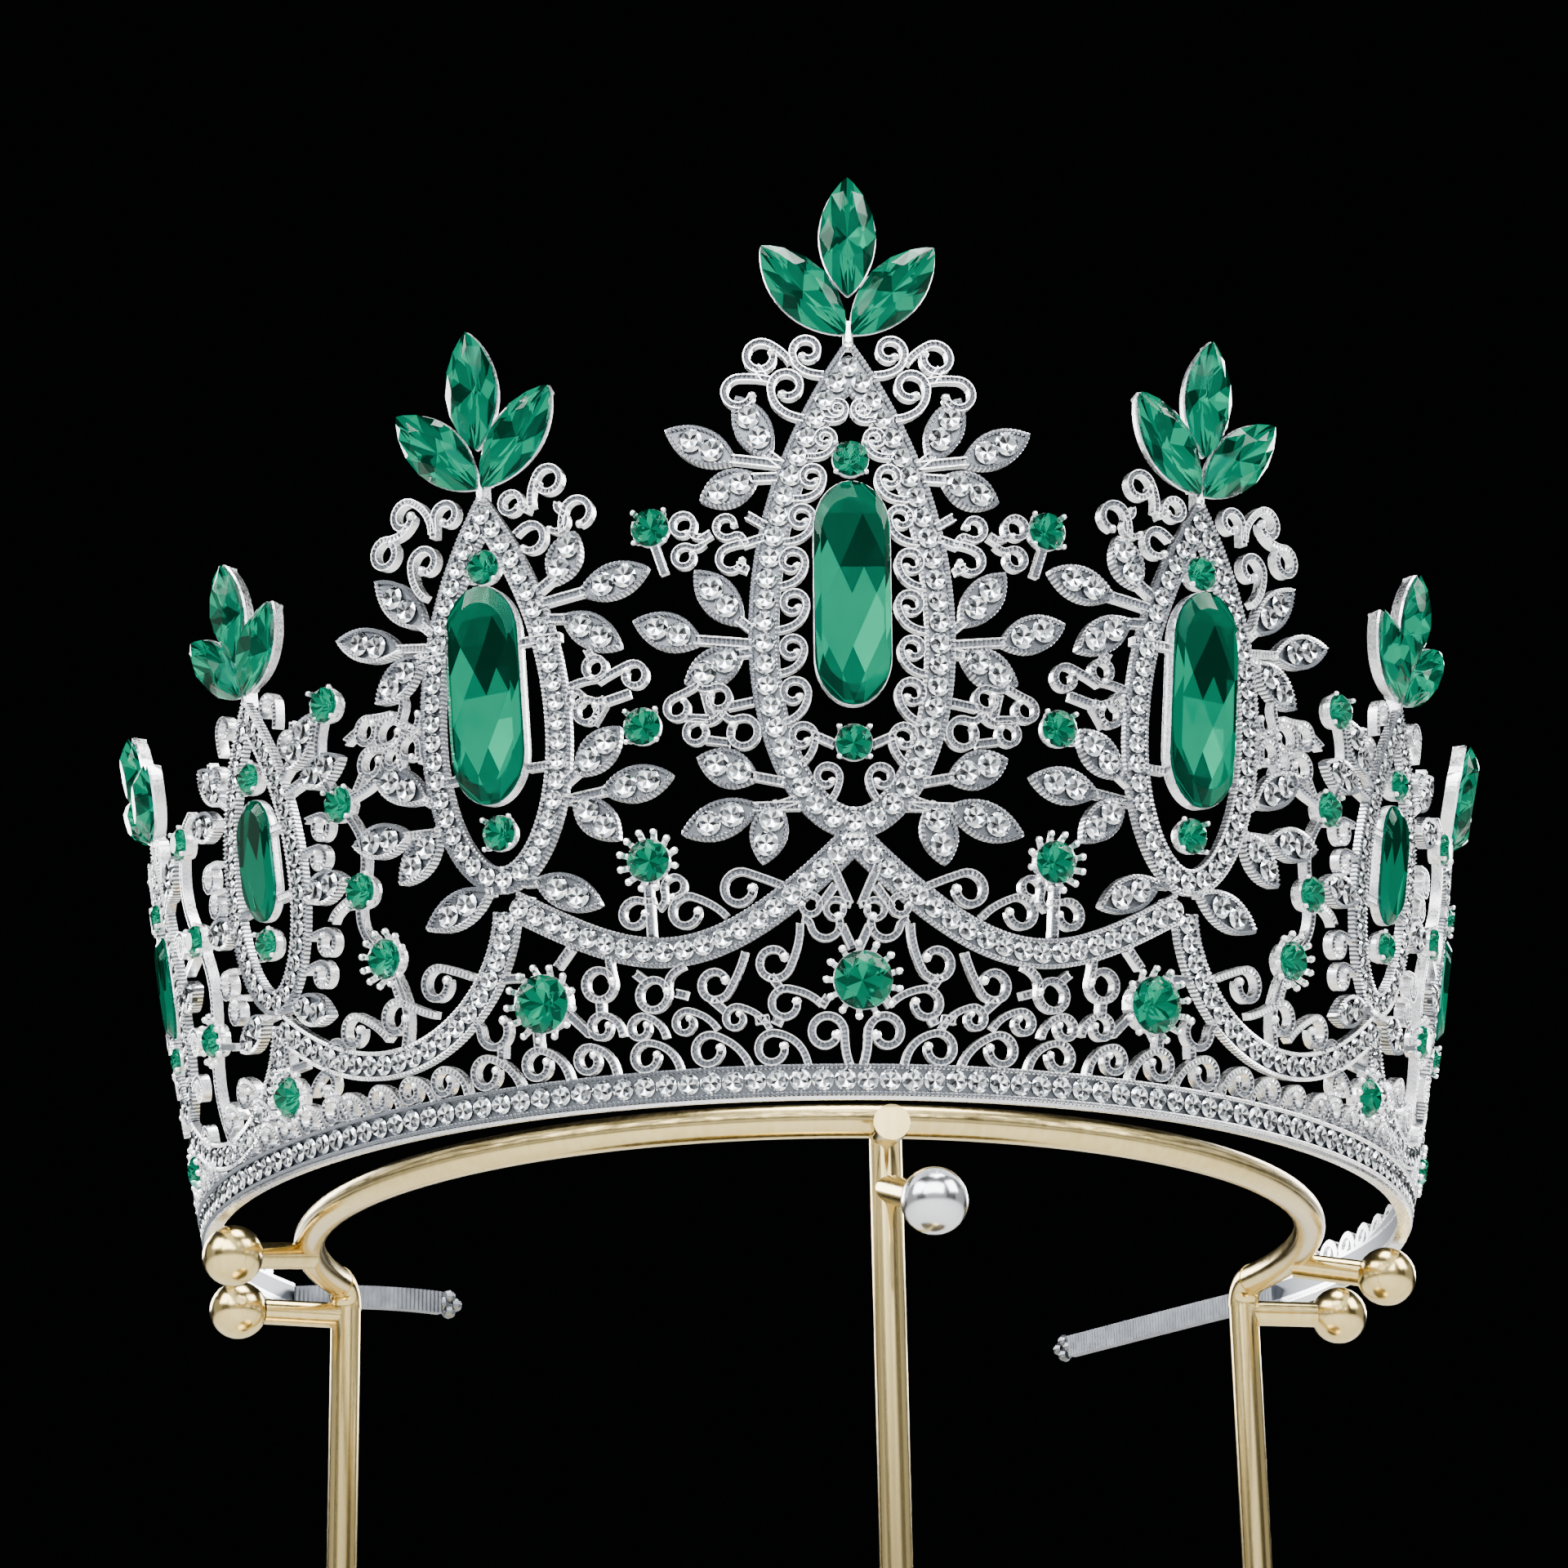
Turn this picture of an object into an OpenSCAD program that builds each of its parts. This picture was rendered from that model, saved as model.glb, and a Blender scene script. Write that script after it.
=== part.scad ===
// Pageant crown of cast filigree with green and clear stones, on a wire display stand.
// Frame: the stand's base lies on z = 0, the crown's axis is Z, and the crown's front faces -Y.
// A place on the crown is told by an angle from the front, towards +X, and a height above its lower edge.

/* [Crown wall] */
// Outer radius at the band's lower edge
band_r = 78.3; // [77:0.1:80]
// How far the wall leans out for each millimetre of height
flare = 0.216; // [0.2:0.002:0.23]
// How fast that lean dies away with height
bow = 0.00081; // [0.0007:0.00001:0.0009]
// Thickness of the cast wall
wall_t = 2; // [1.9:0.1:2.3]
// Height of the band that runs round the foot
band_h = 4; // [3.8:0.1:4.2]
// Half of the angle that the filigree wall covers
wall_half = 112; // [110:1:114]
// Half of the angle that the band covers
band_half = 118; // [116:1:120]

/* [Scroll work] */
// Width of a scroll's ribbon
ribbon_w = 1.2; // [1.1:0.05:1.3]
// Angle from one scroll of the lowest row to the next
row_pitch = 4.7; // [4.6:0.05:4.8]
// Radius of a scroll in the lowest row, to its outer edge
row_r = 2.4; // [2.3:0.05:2.5]
// Width of a festoon, with both of its beaded edges
festoon_w = 3.4; // [3.2:0.1:3.6]
// Widest part of a leaf setting
leaf_w = 4.6; // [4.4:0.1:4.8]

/* [Stones] */
// Length of a finial stone on the three tall panels
finial_l = 14.6; // [14:0.1:14.8]
// Width of a finial stone on the three tall panels
finial_w = 6.8; // [6.4:0.1:6.9]
// Angle between a finial's upright stone and each leaning stone
finial_splay = 43; // [42:1:45]
// How far a finial leans outwards past the wall below it
finial_lean = 5; // [3:1:7]
// Air between a stone and the metal that holds it
seat_gap = 0.12; // [0.11:0.01:0.16]

/* [Stand] */
// Height of the crown's lower edge above the table
stand_h = 150; // [140:1:170]
// Radius of the ring, to the middle of the wire
ring_r = 65; // [64.5:0.5:66]
// Thickness of the stand's wire
wire_d = 4; // [3.8:0.1:4.4]
// Radius of the round base plate
base_r = 75; // [72:1:90]
// Thickness of the base plate
base_t = 4; // [3:0.5:6]
// Diameter of the ball on the end of each peg
ball_d = 7.7; // [7.2:0.1:8]

/* [Hidden] */
// One row for each kind of panel, from the middle of the crown to its side
// columns: angle, height of its foot, height of its apex, half width, rail width, size of its finial
PANELS = [
    [0, 29.6, 89.5, 12.1, 3.5, 1],
    [28.8, 26.2, 74.6, 9.9, 3.1, 1],
    [55.2, 19, 58.7, 8.6, 2.9, 0.88],
    [80, 13.8, 51.4, 7.2, 2.7, 0.75],
];
// The big oval of each kind of panel
// columns: height of its middle, length, width
OVALS = [[58.2, 26.8, 8.9], [49.4, 26.3, 8.9], [38, 15.2, 6.4], [31.8, 13.6, 5.6]];
// The round stones on each kind of panel: upper and lower one inside the frame, then the one above the band
// columns: side, height, radius
ROUNDS = [
    [[0, 74.4, 2.15], [0, 40.6, 2.15], [0.8, 13.4, 3.4]],
    [[0, 65.1, 2.1], [0, 33.2, 2.1], [-3.6, 12.9, 3.4]],
    [[0, 48.3, 2], [0, 27.6, 2], [0, 8.9, 2.5]],
    [[0, 41.3, 1.8], [0, 22.2, 1.8], [0, 7.6, 2.2]],
];
// The round stones between two panels, on both sides of the crown
// columns: angle, height, radius
BETWEEN = [
    [15.2, 67, 2.25], [16.4, 43.5, 2.2], [16.4, 27.9, 2.5],
    [45, 53.5, 2.2], [44.3, 41, 2.2], [42.8, 30, 2.2], [41, 21.4, 2.4],
    [69, 46, 2.1], [68, 33, 2.1], [67.5, 20, 2.2],
];
// Leaf settings of each kind of panel; those of the middle panel are mirrored
// columns: side and height of the root, side and height of the tip
LEAVES = [
    [[9.3, 74.2, 13.5, 82.8], [13, 74.2, 22.2, 79], [10.5, 72.7, 18, 69.8],
     [12.6, 54.5, 18.6, 61.8], [17.2, 52.8, 26.1, 56.2], [12.4, 51.8, 19.9, 48],
     [10.8, 36.5, 18.5, 39.5], [10.6, 33.7, 20.5, 30.5], [9, 34.4, 10.8, 26.5]],
    [[-8.6, 61.5, -12, 68], [-11.6, 60, -21, 62.5], [-9.4, 58, -17, 53],
     [-9.8, 38.5, -16.2, 44], [-12.6, 36.3, -22.2, 37.7], [-9.4, 36.4, -15, 30.5],
     [-3.6, 27.4, -12.3, 23.2],
     [8.2, 59, 15.9, 67], [11.6, 57.2, 22.7, 61], [9.1, 56.4, 16.7, 51.5],
     [9.3, 38.5, 18.2, 44], [12.2, 35, 21.9, 35.6], [8, 35.4, 14.8, 29.3],
     [1.4, 27, 11.6, 23.5]],
    [[-7.4, 47, -13.4, 53.4], [-9, 45, -17.6, 46.8], [-7.6, 31.4, -15.8, 32.4],
     [-2.8, 19.6, -10.4, 16.6],
     [7.4, 47, 13.4, 53.4], [9, 45, 17.6, 46.8], [7.6, 31.4, 15.8, 32.4], [2.8, 19.6, 10.4, 16.6]],
    [[-6.2, 41, -12.4, 46], [-6.6, 27.4, -13.8, 28], [6.2, 41, 12.4, 46], [6.6, 27.4, 13.8, 28]],
];
// Scroll loops on both sides of a panel of each kind
// columns: side and height of the loop's middle, outer radius, whether its eye is cut through
LOOPS = [
    [[4.4, 87.2, 2.5, 1], [10.4, 87, 2.5, 1], [13.4, 83.4, 2.1, 0], [6.8, 82, 2.8, 1],
     [18.9, 66.4, 2.4, 0], [19.4, 44.8, 2.4, 0], [13, 43, 2.5, 1]],
    [[4, 72.4, 2.3, 0], [9.2, 72.8, 2.4, 1], [12.8, 68.8, 2.2, 0], [16.4, 48.6, 2.4, 1]],
    [[4, 56, 2.4, 0], [9.8, 39, 2.3, 0]],
    [[3.8, 48.8, 2.2, 0]],
];
// Straps between a panel's own pieces, on both sides of it
// columns: side and height of one end, side and height of the other
LINKS = [
    [[1, 86.4, 4.4, 87.2], [6.8, 82, 10.4, 87], [10.4, 87, 13.4, 83.4]],
    [[1, 71.2, 9.2, 72.8], [9.2, 72.8, 12.8, 68.8], [12.8, 68.8, 14, 65.6], [9.4, 50, 16.4, 48.6],
     [16.6, 52.6, 16, 43.6]],
    [[1, 55, 4, 56]],
    [[1, 47.8, 3.8, 48.8]],
];
// Scroll loops that stand on the festoons, on both sides of the crown
// columns: angle and height of the loop's middle, outer radius, whether its eye is cut through
FREE_LOOPS = [
    [9.4, 22.8, 2.7, 1], [13.2, 20.6, 2.4, 0], [17.7, 20.8, 2.3, 1], [35.4, 15.4, 2.7, 1],
    [40.2, 12.8, 2.4, 0], [44.8, 12.8, 2.3, 1], [49.2, 14.6, 2.2, 0], [61, 12.4, 2.4, 0], [72.4, 10.8, 2.3, 0],
];
// Gaps cut through the net between the band and the festoons, on both sides of the crown
// columns: angle and height of the gap's middle, half width, half height
NET_GAPS = [
    [0, 24.4, 1.3, 2.4], [2.3, 21.6, 1.2, 1.1], [5.2, 17.8, 1, 1.7], [3.9, 10.2, 1.1, 1], [6.5, 11.9, 1.5, 1.5],
    [9.4, 15.3, 1.4, 1.2], [11.2, 12.2, 1.5, 1.3], [16.9, 13.7, 1.5, 1.5], [20.6, 14.2, 1.6, 1.4],
    [25, 19, 1.5, 1.4], [30, 11, 1.3, 1.4], [52, 10.2, 1.5, 1.1], [58.6, 10.4, 1.4, 1.1],
];
// Festoons, each a curve with four control points
// columns: angle and height of each point in turn
FESTOONS = [
    [[0, 29.6], [12, 11.5], [18.8, 16.2], [28.3, 25.4]],
    [[28.8, 24.6], [29.8, 12], [41, 1], [55.2, 18.6]],
    [[55.2, 18.6], [57, 7], [68, 0], [80, 13]],
    [[80, 12.8], [83, 6], [91, 5], [100, 3]],
];
// Straps that tie stones, leaves, loops and festoons together, on both sides of the crown
// columns: angle and height of one end, angle and height of the other, width
STRAPS = [
    [14.8, 18.4, 16.3, 26, 1.8],
    [9, 70.4, 11.6, 63.4, 2], [12.6, 69.4, 15, 67, 2], [15.2, 66, 15.4, 61.4, 1.6],
    [12, 53, 12.2, 43.2, 2], [16, 38.8, 16.4, 42.4, 1.8],
    [42.8, 61.6, 44.6, 55, 1.8], [41, 50.4, 44.6, 52.4, 1.8], [45, 52.4, 44.3, 42, 1.6],
    [40.4, 44, 44.2, 41.4, 1.8], [44.2, 40, 42.8, 31.4, 1.6], [38.4, 31, 42.4, 30, 1.8],
    [42.4, 28.6, 41.2, 23, 1.8], [40.9, 20, 39.6, 10.6, 1.8],
    [44, 46.8, 45, 50, 1.6], [43.2, 30, 45.2, 32, 1.6],
    [66, 47, 68.6, 46, 1.6], [65, 32.6, 67.6, 33, 1.6], [69.4, 46, 72.6, 45.6, 1.6],
    [68.6, 32.4, 71.4, 28.6, 1.6], [67.5, 7, 67.5, 19, 1.8],
    [68.8, 45, 68, 34, 1.6], [68, 32, 67.5, 21, 1.6],
];
// The two flat bars that run on behind the band's ends, each with a knob
// columns: angle and radius of each corner in turn
TAILS = [
    [[-117.5, 77.2], [-119, 70], [-124, 64.5], [-129, 62.5]],
    [[117.5, 77.2], [127, 76], [139, 79], [148, 83.5]],
];
// Pegs at the crown's sides, two on the ring and two on the side legs, whose balls carry the crown's lower edge
// columns: angle of the foot about the ring's middle, height of the foot, angle and radius of the ball about the crown's axis
PEGS = [[-110.5, -4.05, -101.5, 76.6], [-88, -1.5, -77, 76], [94, -1.5, 87.6, 76.2], [110.5, -4.05, 105.8, 77.3]];

tail_t = 1.6;                      // thickness of the bars behind the band's ends
tail_h = 3;                        // their height
knob_r = 2.3;                      // radius of the knob on each
peg_d = 3.4;                       // thickness of a peg, and of the stub that carries the crown's front
stub_end = 77;                     // how far in front of the crown's axis that stub ends
stub_disc = [4.2, 1.2];            // diameter and thickness of the disc on its end
stub_drop = 0.5;                   // how far the disc hangs under the stub's middle
under_crown = 0.1;                 // air between the stub and the crown's lower edge
front_peg = [-8, [8.1, -82.6, -12.9]]; // height of the front peg's root, and its ball, from the crown's lower edge
ring_shift = -3.5;                 // how far the ring's middle lies from the crown's axis, along Y
leg_angle = 110.5;                 // where the side legs stand, about the ring's middle
front_leg = 3.6;                   // where the front leg stands
bend_r = 3.2;                      // radius of the bend from ring to side leg
weld = 0.5;                        // how far ring and side legs run into the bends
swell = 0.1;                       // how much thicker the bends are, and how much thinner the front leg

round_n = 8;                       // sides of a round stone and of its setting
loop_n = 8;                        // sides of a scroll loop and of its eye
oval_n = 12;                       // sides of a big oval stone and of its setting
shell_n = 40;                      // sides that a full turn of the wall would have
pocket = 0.8;                      // depth of a stone's seat
rim = 0.75;                        // width of the metal round a big stone
shell_z = [3.4, 25.9, 47.37, 96];  // heights at which the wall bends
row_z = 5.7;                       // height of the lowest row's loops
row_half = 62;                     // angle to which that row runs on each side
inner_gaps = [37.6:8.4:72];        // heights of the gaps inside the middle panel's frame
inner_set = 5.4;                   // how far they stand in from the frame's edge
leaf_stem = 3.5;                   // length of the stem that joins a leaf to its panel
link_w = 1.6;                      // width of the straps between a panel's own pieces

// Radius of the wall's outer face at height z, and the wall's lean there
function wall_r(z) = band_r + flare * z - bow * z * z;
function wall_lean(z) = atan(flare - 2 * bow * z);

// Kind, sign and angle of panel p, counted from 1 at the crown's left end to 7 at its right
function kind(p) = abs(p - 4);
function sign_of(p) = p < 4 ? -1 : 1;
function angle_of(p) = sign_of(p) * PANELS[kind(p)][0];

// Angle of a place so far to the side of a panel's middle line
function aside(a, x, z) = a + x / wall_r(z) * 180 / PI;

// The leaves of panel p in its own drawing
function leaves(p) = kind(p) == 0
    ? [for (s = [-1, 1], v = LEAVES[0]) [s * v[0], v[1], s * v[2], v[3]]]
    : [for (v = LEAVES[kind(p)]) [sign_of(p) * v[0], v[1], sign_of(p) * v[2], v[3]]];
function leaf_length(v) = norm([v[2] - v[0], v[3] - v[1]]);

// Half width of a panel's frame at height z: rounded at its foot, pointed at its apex
widest = 0.39;                     // part of the frame's height at which it is widest
taper = 2.1;                       // how full its shoulders are
function frame_half(k, z) =
    let (t = (z - PANELS[k][1]) / (PANELS[k][2] - PANELS[k][1]))
    PANELS[k][3] * (t < widest ? sqrt(max(0, 1 - pow((widest - t) / widest, 2)))
                               : 1 - pow((t - widest) / (1 - widest), taper));
function frame_outline(k, n = 10) =
    let (foot = PANELS[k][1], h = PANELS[k][2] - foot,
         side = [for (i = [0:n]) let (z = foot + h * (1 - cos(180 * i / n)) / 2) [frame_half(k, z), z]])
    concat(side, [for (i = [n - 1:-1:1]) [-side[i][0], side[i][1]]]);

// Point on a curve with four control points
function bezier(p, t) =
    let (u = 1 - t) u * u * u * p[0] + 3 * u * u * t * p[1] + 3 * u * t * t * p[2] + t * t * t * p[3];

// Outline of a pointed stone, from its lower tip up along Y
function marquise(l, w) =
    [[0, 0], [0.31 * w, 0.18 * l], [w / 2, l / 2], [0.31 * w, 0.82 * l],
     [0, l], [-0.31 * w, 0.82 * l], [-w / 2, l / 2], [-0.31 * w, 0.18 * l]];

// Outline of an oval with full shoulders, l high and w wide
function oval(l, w, n = oval_n) =
    [for (i = [0:n - 1]) let (a = 360 * (i + 0.5) / n, c = cos(a), s = sin(a))
        [w / 2 * sign(c) * pow(abs(c), 0.8), l / 2 * sign(s) * pow(abs(s), 0.95)]];
function circle_outline(r) = [for (i = [0:round_n - 1]) r * [cos(360 * i / round_n), sin(360 * i / round_n)]];

// A faceted stone: an outline scaled about its middle, level by level from the culet up
// columns of levels: scale, height
module cut_stone(outline, middle, levels) {
    n = len(outline);
    m = len(levels);
    points = [for (v = levels, p = outline) let (q = middle + (p - middle) * v[0]) [q[0], q[1], v[1]]];
    sides = [for (j = [0:m - 2], i = [0:n - 1]) let (a = j * n + i, b = j * n + (i + 1) % n)
        each [[a + n, b + n, b], [a + n, b, a]]];
    polyhedron(points, concat([[for (i = [0:n - 1]) i]],
                              [[for (i = [n - 1:-1:0]) (m - 1) * n + i]], sides));
}

// Turns a part to face outwards at an angle and height: X to the side, Y up the wall, Z out of it
module on_wall(a, z, lean = 0) {
    translate([wall_r(z) * sin(a), -wall_r(z) * cos(a), stand_h + z])
        rotate([0, 0, a]) rotate([90 + wall_lean(z) + lean, 0, 0]) children();
}

// Pushes a flat drawing straight through the wall at an angle
module through_wall(a) {
    translate([0, 0, stand_h]) rotate([0, 0, a]) rotate([90, 0, 0])
        translate([0, 0, band_r - 16]) linear_extrude(44) children();
}

module turned(half) {
    translate([0, 0, stand_h]) rotate([0, 0, -90 - half])
        rotate_extrude(angle = 2 * half, $fn = shell_n) children();
}

module shell() {
    turned(wall_half) polygon(concat([for (z = shell_z) [wall_r(z), z]],
        [for (i = [len(shell_z) - 1:-1:0]) [wall_r(shell_z[i]) - wall_t, shell_z[i]]]));
}

module band() {
    turned(band_half) polygon([
        [band_r - wall_t - 0.1, 0], [band_r + 0.5, 0], [band_r + 0.5, 0.9], [band_r - 0.2, 0.9],
        [wall_r(3.1) - 0.3, 3.1], [wall_r(band_h) + 0.3, 3.1], [wall_r(band_h) + 0.3, band_h],
        [wall_r(band_h) - wall_t - 0.1, band_h]]);
}
stub_z = -peg_d / 2 - under_crown; // height of the stub's middle, from the crown's lower edge

module disc(x, z, r, n = loop_n) {
    translate([x, z]) circle(r, $fn = n);
}

// A straight strap between two places of a flat drawing
module bar(x1, z1, x2, z2, w) {
    translate([x1, z1]) rotate(atan2(z2 - z1, x2 - x1)) translate([-w / 4, -w / 2])
        square([norm([x2 - x1, z2 - z1]) + w / 2, w]);
}

// Setting of a leaf
module leaf(v, w) {
    l = leaf_length(v);
    translate([v[0], v[1]]) rotate(atan2(v[3] - v[1], v[2] - v[0]))
        polygon([[-leaf_stem, -0.6], [0, -0.8], [0.3 * l, -0.48 * w], [0.7 * l, -0.42 * w], [l, 0],
                 [0.7 * l, 0.42 * w], [0.3 * l, 0.48 * w], [0, 0.8], [-leaf_stem, 0.6]]);
}

// One panel drawn flat: its frame, settings, leaves and loops
module panel_drawing(p) {
    k = kind(p);
    difference() {
        polygon(frame_outline(k));
        if (k > 0) offset(delta = -PANELS[k][4]) polygon(frame_outline(k));
    }
    for (dz = k < 2 ? [-0.28, 0.28] : [0])
        let (z = OVALS[k][0] + dz * OVALS[k][1], end = frame_half(k, z) - 1) bar(-end, z, end, z, 1.5);
    for (v = leaves(p)) leaf(v, leaf_w - k * 0.2);
    for (s = [-1, 1], v = LOOPS[k]) disc(s * v[0], v[1], v[2]);
    for (s = [-1, 1], v = LINKS[k]) bar(s * v[0], v[1], s * v[2], v[3], link_w);
    bar(0, ROUNDS[k][1][1], 0, PANELS[k][1] - 1.5, 2);
    bar(0, ROUNDS[k][0][1], 0, PANELS[k][2] - 4, 2);
    bar(0, PANELS[k][2] - 2.4, 0, PANELS[k][2] + 1.4, 2.8);
}

module panel_eyes(p) {
    k = kind(p);
    for (s = [-1, 1], v = LOOPS[k]) if (v[3] == 1) disc(s * v[0], v[1], v[2] - ribbon_w);
    if (k == 0) for (s = [-1, 1], z = inner_gaps) gap(s * (frame_half(0, z) - inner_set), z, 1.4, 3.1);
}

// Place with an angle and a height, as it falls in the flat drawing of the panel at angle a
function flat(a, angle, z) = [(wall_r(z) - wall_t / 2) * sin(angle - a), z];

// Angle at which panel p's drawing ends, to one side, and whether it reaches what lies at an angle
function bound(p, side) = p + side < 1 ? -180 : p + side > 7 ? 180 : (angle_of(p) + angle_of(p + side)) / 2;
function holds(p, angle, spare = 0) = angle >= bound(p, -1) - spare && angle < bound(p, 1) + spare;

// Upper edge of the festoons: angle against height, from the front towards one side
net_top = [for (f = FESTOONS, t = [0:1 / 6:0.99]) let (q = bezier(f, t), d = bezier(f, t + 0.01) - q)
    q + festoon_w / 2 / norm([wall_r(q[1]) * PI / 180 * d[0], d[1]]) * [-d[1] * 180 / PI / wall_r(q[1]), wall_r(q[1]) * PI / 180 * d[0]]];

// The net between band and festoons, as far as panel p's drawing holds it
module net(p) {
    a = angle_of(p);
    overlap = 0.5;
    left = max(bound(p, -1) - overlap, -FESTOONS[3][3][0]);
    right = min(bound(p, 1) + overlap, FESTOONS[3][3][0]);
    tops = concat([for (i = [len(net_top) - 1:-1:1]) [-net_top[i][0], net_top[i][1]]],
                  [[0, FESTOONS[0][0][1]]], [for (i = [1:len(net_top) - 1]) net_top[i]]);
    inside = [for (v = tops) if (v[0] > left && v[0] < right) v];
    edge = concat([[left, lookup(left, tops)]], inside, [[right, lookup(right, tops)]]);
    foot = shell_z[0];
    polygon(concat([flat(a, left, foot), flat(a, right, foot)],
                   [for (i = [len(edge) - 1:-1:0]) flat(a, edge[i][0], edge[i][1])]));
}

module gap(x, z, rx, rz) {
    translate([x, z]) scale([rx, rz]) circle(1, $fn = loop_n);
}

// What lies between the panels, drawn flat for the part that panel p's drawing holds
module lattice_drawing(p) {
    a = angle_of(p);
    net(p);
    for (s = [-1, 1], v = STRAPS) if (holds(p, s * (v[0] + v[2]) / 2))
        let (q = flat(a, s * v[0], v[1]), t = flat(a, s * v[2], v[3])) bar(q[0], q[1], t[0], t[1], v[4]);
    for (s = [-1, 1], v = FREE_LOOPS) if (holds(p, s * v[0]))
        let (q = flat(a, s * v[0], v[1])) disc(q[0], q[1], v[2]);
    for (v = small_rounds()) if (holds(p, v[0]))
        let (q = flat(a, v[0], v[1])) disc(q[0], q[1], v[2] + 0.6, round_n);
}
function row_angles() = let (m = floor(row_half / row_pitch)) [for (i = [-m:m]) i * row_pitch];

module lattice_eyes(p) {
    a = angle_of(p);
    spare = 3; // a gap this near to the drawing's end is cut in the next drawing too
    for (s = [-1, 1], v = FREE_LOOPS) if (v[3] == 1 && holds(p, s * v[0], spare))
        let (q = flat(a, s * v[0], v[1])) disc(q[0], q[1], v[2] - ribbon_w);
    for (s = [-1, 1], v = NET_GAPS) if (holds(p, s * v[0], spare) && (v[0] > 0 || s > 0))
        let (q = flat(a, s * v[0], v[1])) gap(q[0], q[1], v[2], v[3]);
    for (angle = row_angles()) if (holds(p, angle, spare))
        let (q = flat(a, angle, row_z)) disc(q[0], q[1], row_r - ribbon_w);
}

// Places of the three stones of a finial, whose foot is the origin
// columns: turn, distance from the foot to the stone's lower tip
FINIAL = [[finial_splay, 0.5], [0, 5], [-finial_splay, 0.5]];

module on_finial(p, i) {
    k = kind(p);
    on_wall(angle_of(p), PANELS[k][2], finial_lean)
        rotate(FINIAL[i][0]) translate([0, FINIAL[i][1] * PANELS[k][5]]) children();
}

module finial_cups(p) {
    size = PANELS[kind(p)][5];
    for (i = [0:2]) on_finial(p, i) translate([0, -0.3, -1.6]) linear_extrude(2)
        polygon(marquise(finial_l * size + 0.6, finial_w * size + 0.6));
}

// Every round stone but the clear ones
// columns: angle, height, radius
function panel_rounds(p, which) = [for (i = which) let (v = ROUNDS[kind(p)][i])
    [aside(angle_of(p), sign_of(p) * v[0], v[1]), v[1], v[2]]];
function small_rounds() = concat([for (p = [1:7]) each panel_rounds(p, [0, 1])],
                                 [for (s = [-1, 1], v = BETWEEN) [s * v[0], v[1], v[2]]]);
function all_rounds() = concat(small_rounds(), [for (p = [1:7]) each panel_rounds(p, [2])]);

// Cuts the seat of every stone on panel p
module seats(p) {
    k = kind(p);
    size = PANELS[k][5];
    side_gap = 2.6 * seat_gap;
    on_wall(angle_of(p), OVALS[k][0]) translate([0, 0, -pocket]) linear_extrude(6)
        polygon(oval(OVALS[k][1] + side_gap, OVALS[k][2] + side_gap));
    for (i = [0:2]) on_finial(p, i) translate([0, -side_gap / 2, -0.5]) linear_extrude(3)
        polygon(marquise(finial_l * size + side_gap, finial_w * size + side_gap));
}

function at(angle, r) = [r * sin(angle), -r * cos(angle), 0];

module tail(path) {
    translate([0, 0, stand_h + (band_h - tail_h) / 2]) {
        for (i = [0:len(path) - 2]) hull() for (v = [path[i], path[i + 1]])
            translate(at(v[0], v[1])) cylinder(h = tail_h, d = tail_t, $fn = 6);
        let (end = path[len(path) - 1])
            translate(at(end[0], end[1]) + [0, 0, tail_h / 2]) sphere(knob_r, $fn = 8);
    }
}

module crown_frame() {
    color("silver") difference() {
        union() {
            intersection() {
                union() for (p = [1:7]) through_wall(angle_of(p)) difference() {
                    union() {
                        panel_drawing(p);
                        lattice_drawing(p);
                    }
                    panel_eyes(p);
                    lattice_eyes(p);
                }
                shell();
            }
            band();
            for (p = [1:7]) finial_cups(p);
            for (p = [1:7]) let (v = OVALS[kind(p)]) on_wall(angle_of(p), v[0])
                translate([0, 0, -wall_t]) linear_extrude(wall_t + 0.9) polygon(oval(v[1] + 2 * rim, v[2] + 2 * rim));
            for (path = TAILS) tail(path);
        }
        for (p = [1:7]) seats(p);
        for (v = all_rounds()) on_wall(v[0], v[1])
            translate([0, 0, -pocket]) cylinder(h = 4, r = v[2] + seat_gap, $fn = round_n);
    }
}

// Cut of each kind of stone, level by level
// columns: scale of the outline, height above the wall's face
OVAL_CUT = [[0.6, seat_gap - pocket], [1, 0.9], [0.82, 2.2], [0.5, 2.8]];
ROUND_CUT = [[0.5, seat_gap - pocket], [1, 0.5], [0.6, 1.3]];
FINIAL_CUT = [[0.6, seat_gap - 0.5], [1, 0.5], [0.5, 2.2]];
leaf_stone = [1.3, 0.65];           // radius and height of a leaf's clear stone
leaf_pitch = 2.9;                  // from one clear stone of a leaf to the other
leaf_air = 0.2;                    // air under them

module oval_emerald(p) {
    v = OVALS[kind(p)];
    color("seagreen") on_wall(angle_of(p), v[0]) cut_stone(oval(v[1], v[2]), [0, 0], OVAL_CUT);
}

module base_emerald(p) {
    v = panel_rounds(p, [2])[0];
    color("seagreen") on_wall(v[0], v[1]) cut_stone(circle_outline(v[2]), [0, 0], ROUND_CUT);
}

module finial_emerald(p, i) {
    size = PANELS[kind(p)][5];
    color("seagreen") on_finial(p, i)
        cut_stone(marquise(finial_l * size, finial_w * size), [0, finial_l * size / 2], FINIAL_CUT);
}

module round_emeralds() {
    color("seagreen") {
        for (v = small_rounds()) on_wall(v[0], v[1]) cut_stone(circle_outline(v[2]), [0, 0], ROUND_CUT);
    }
}

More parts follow.
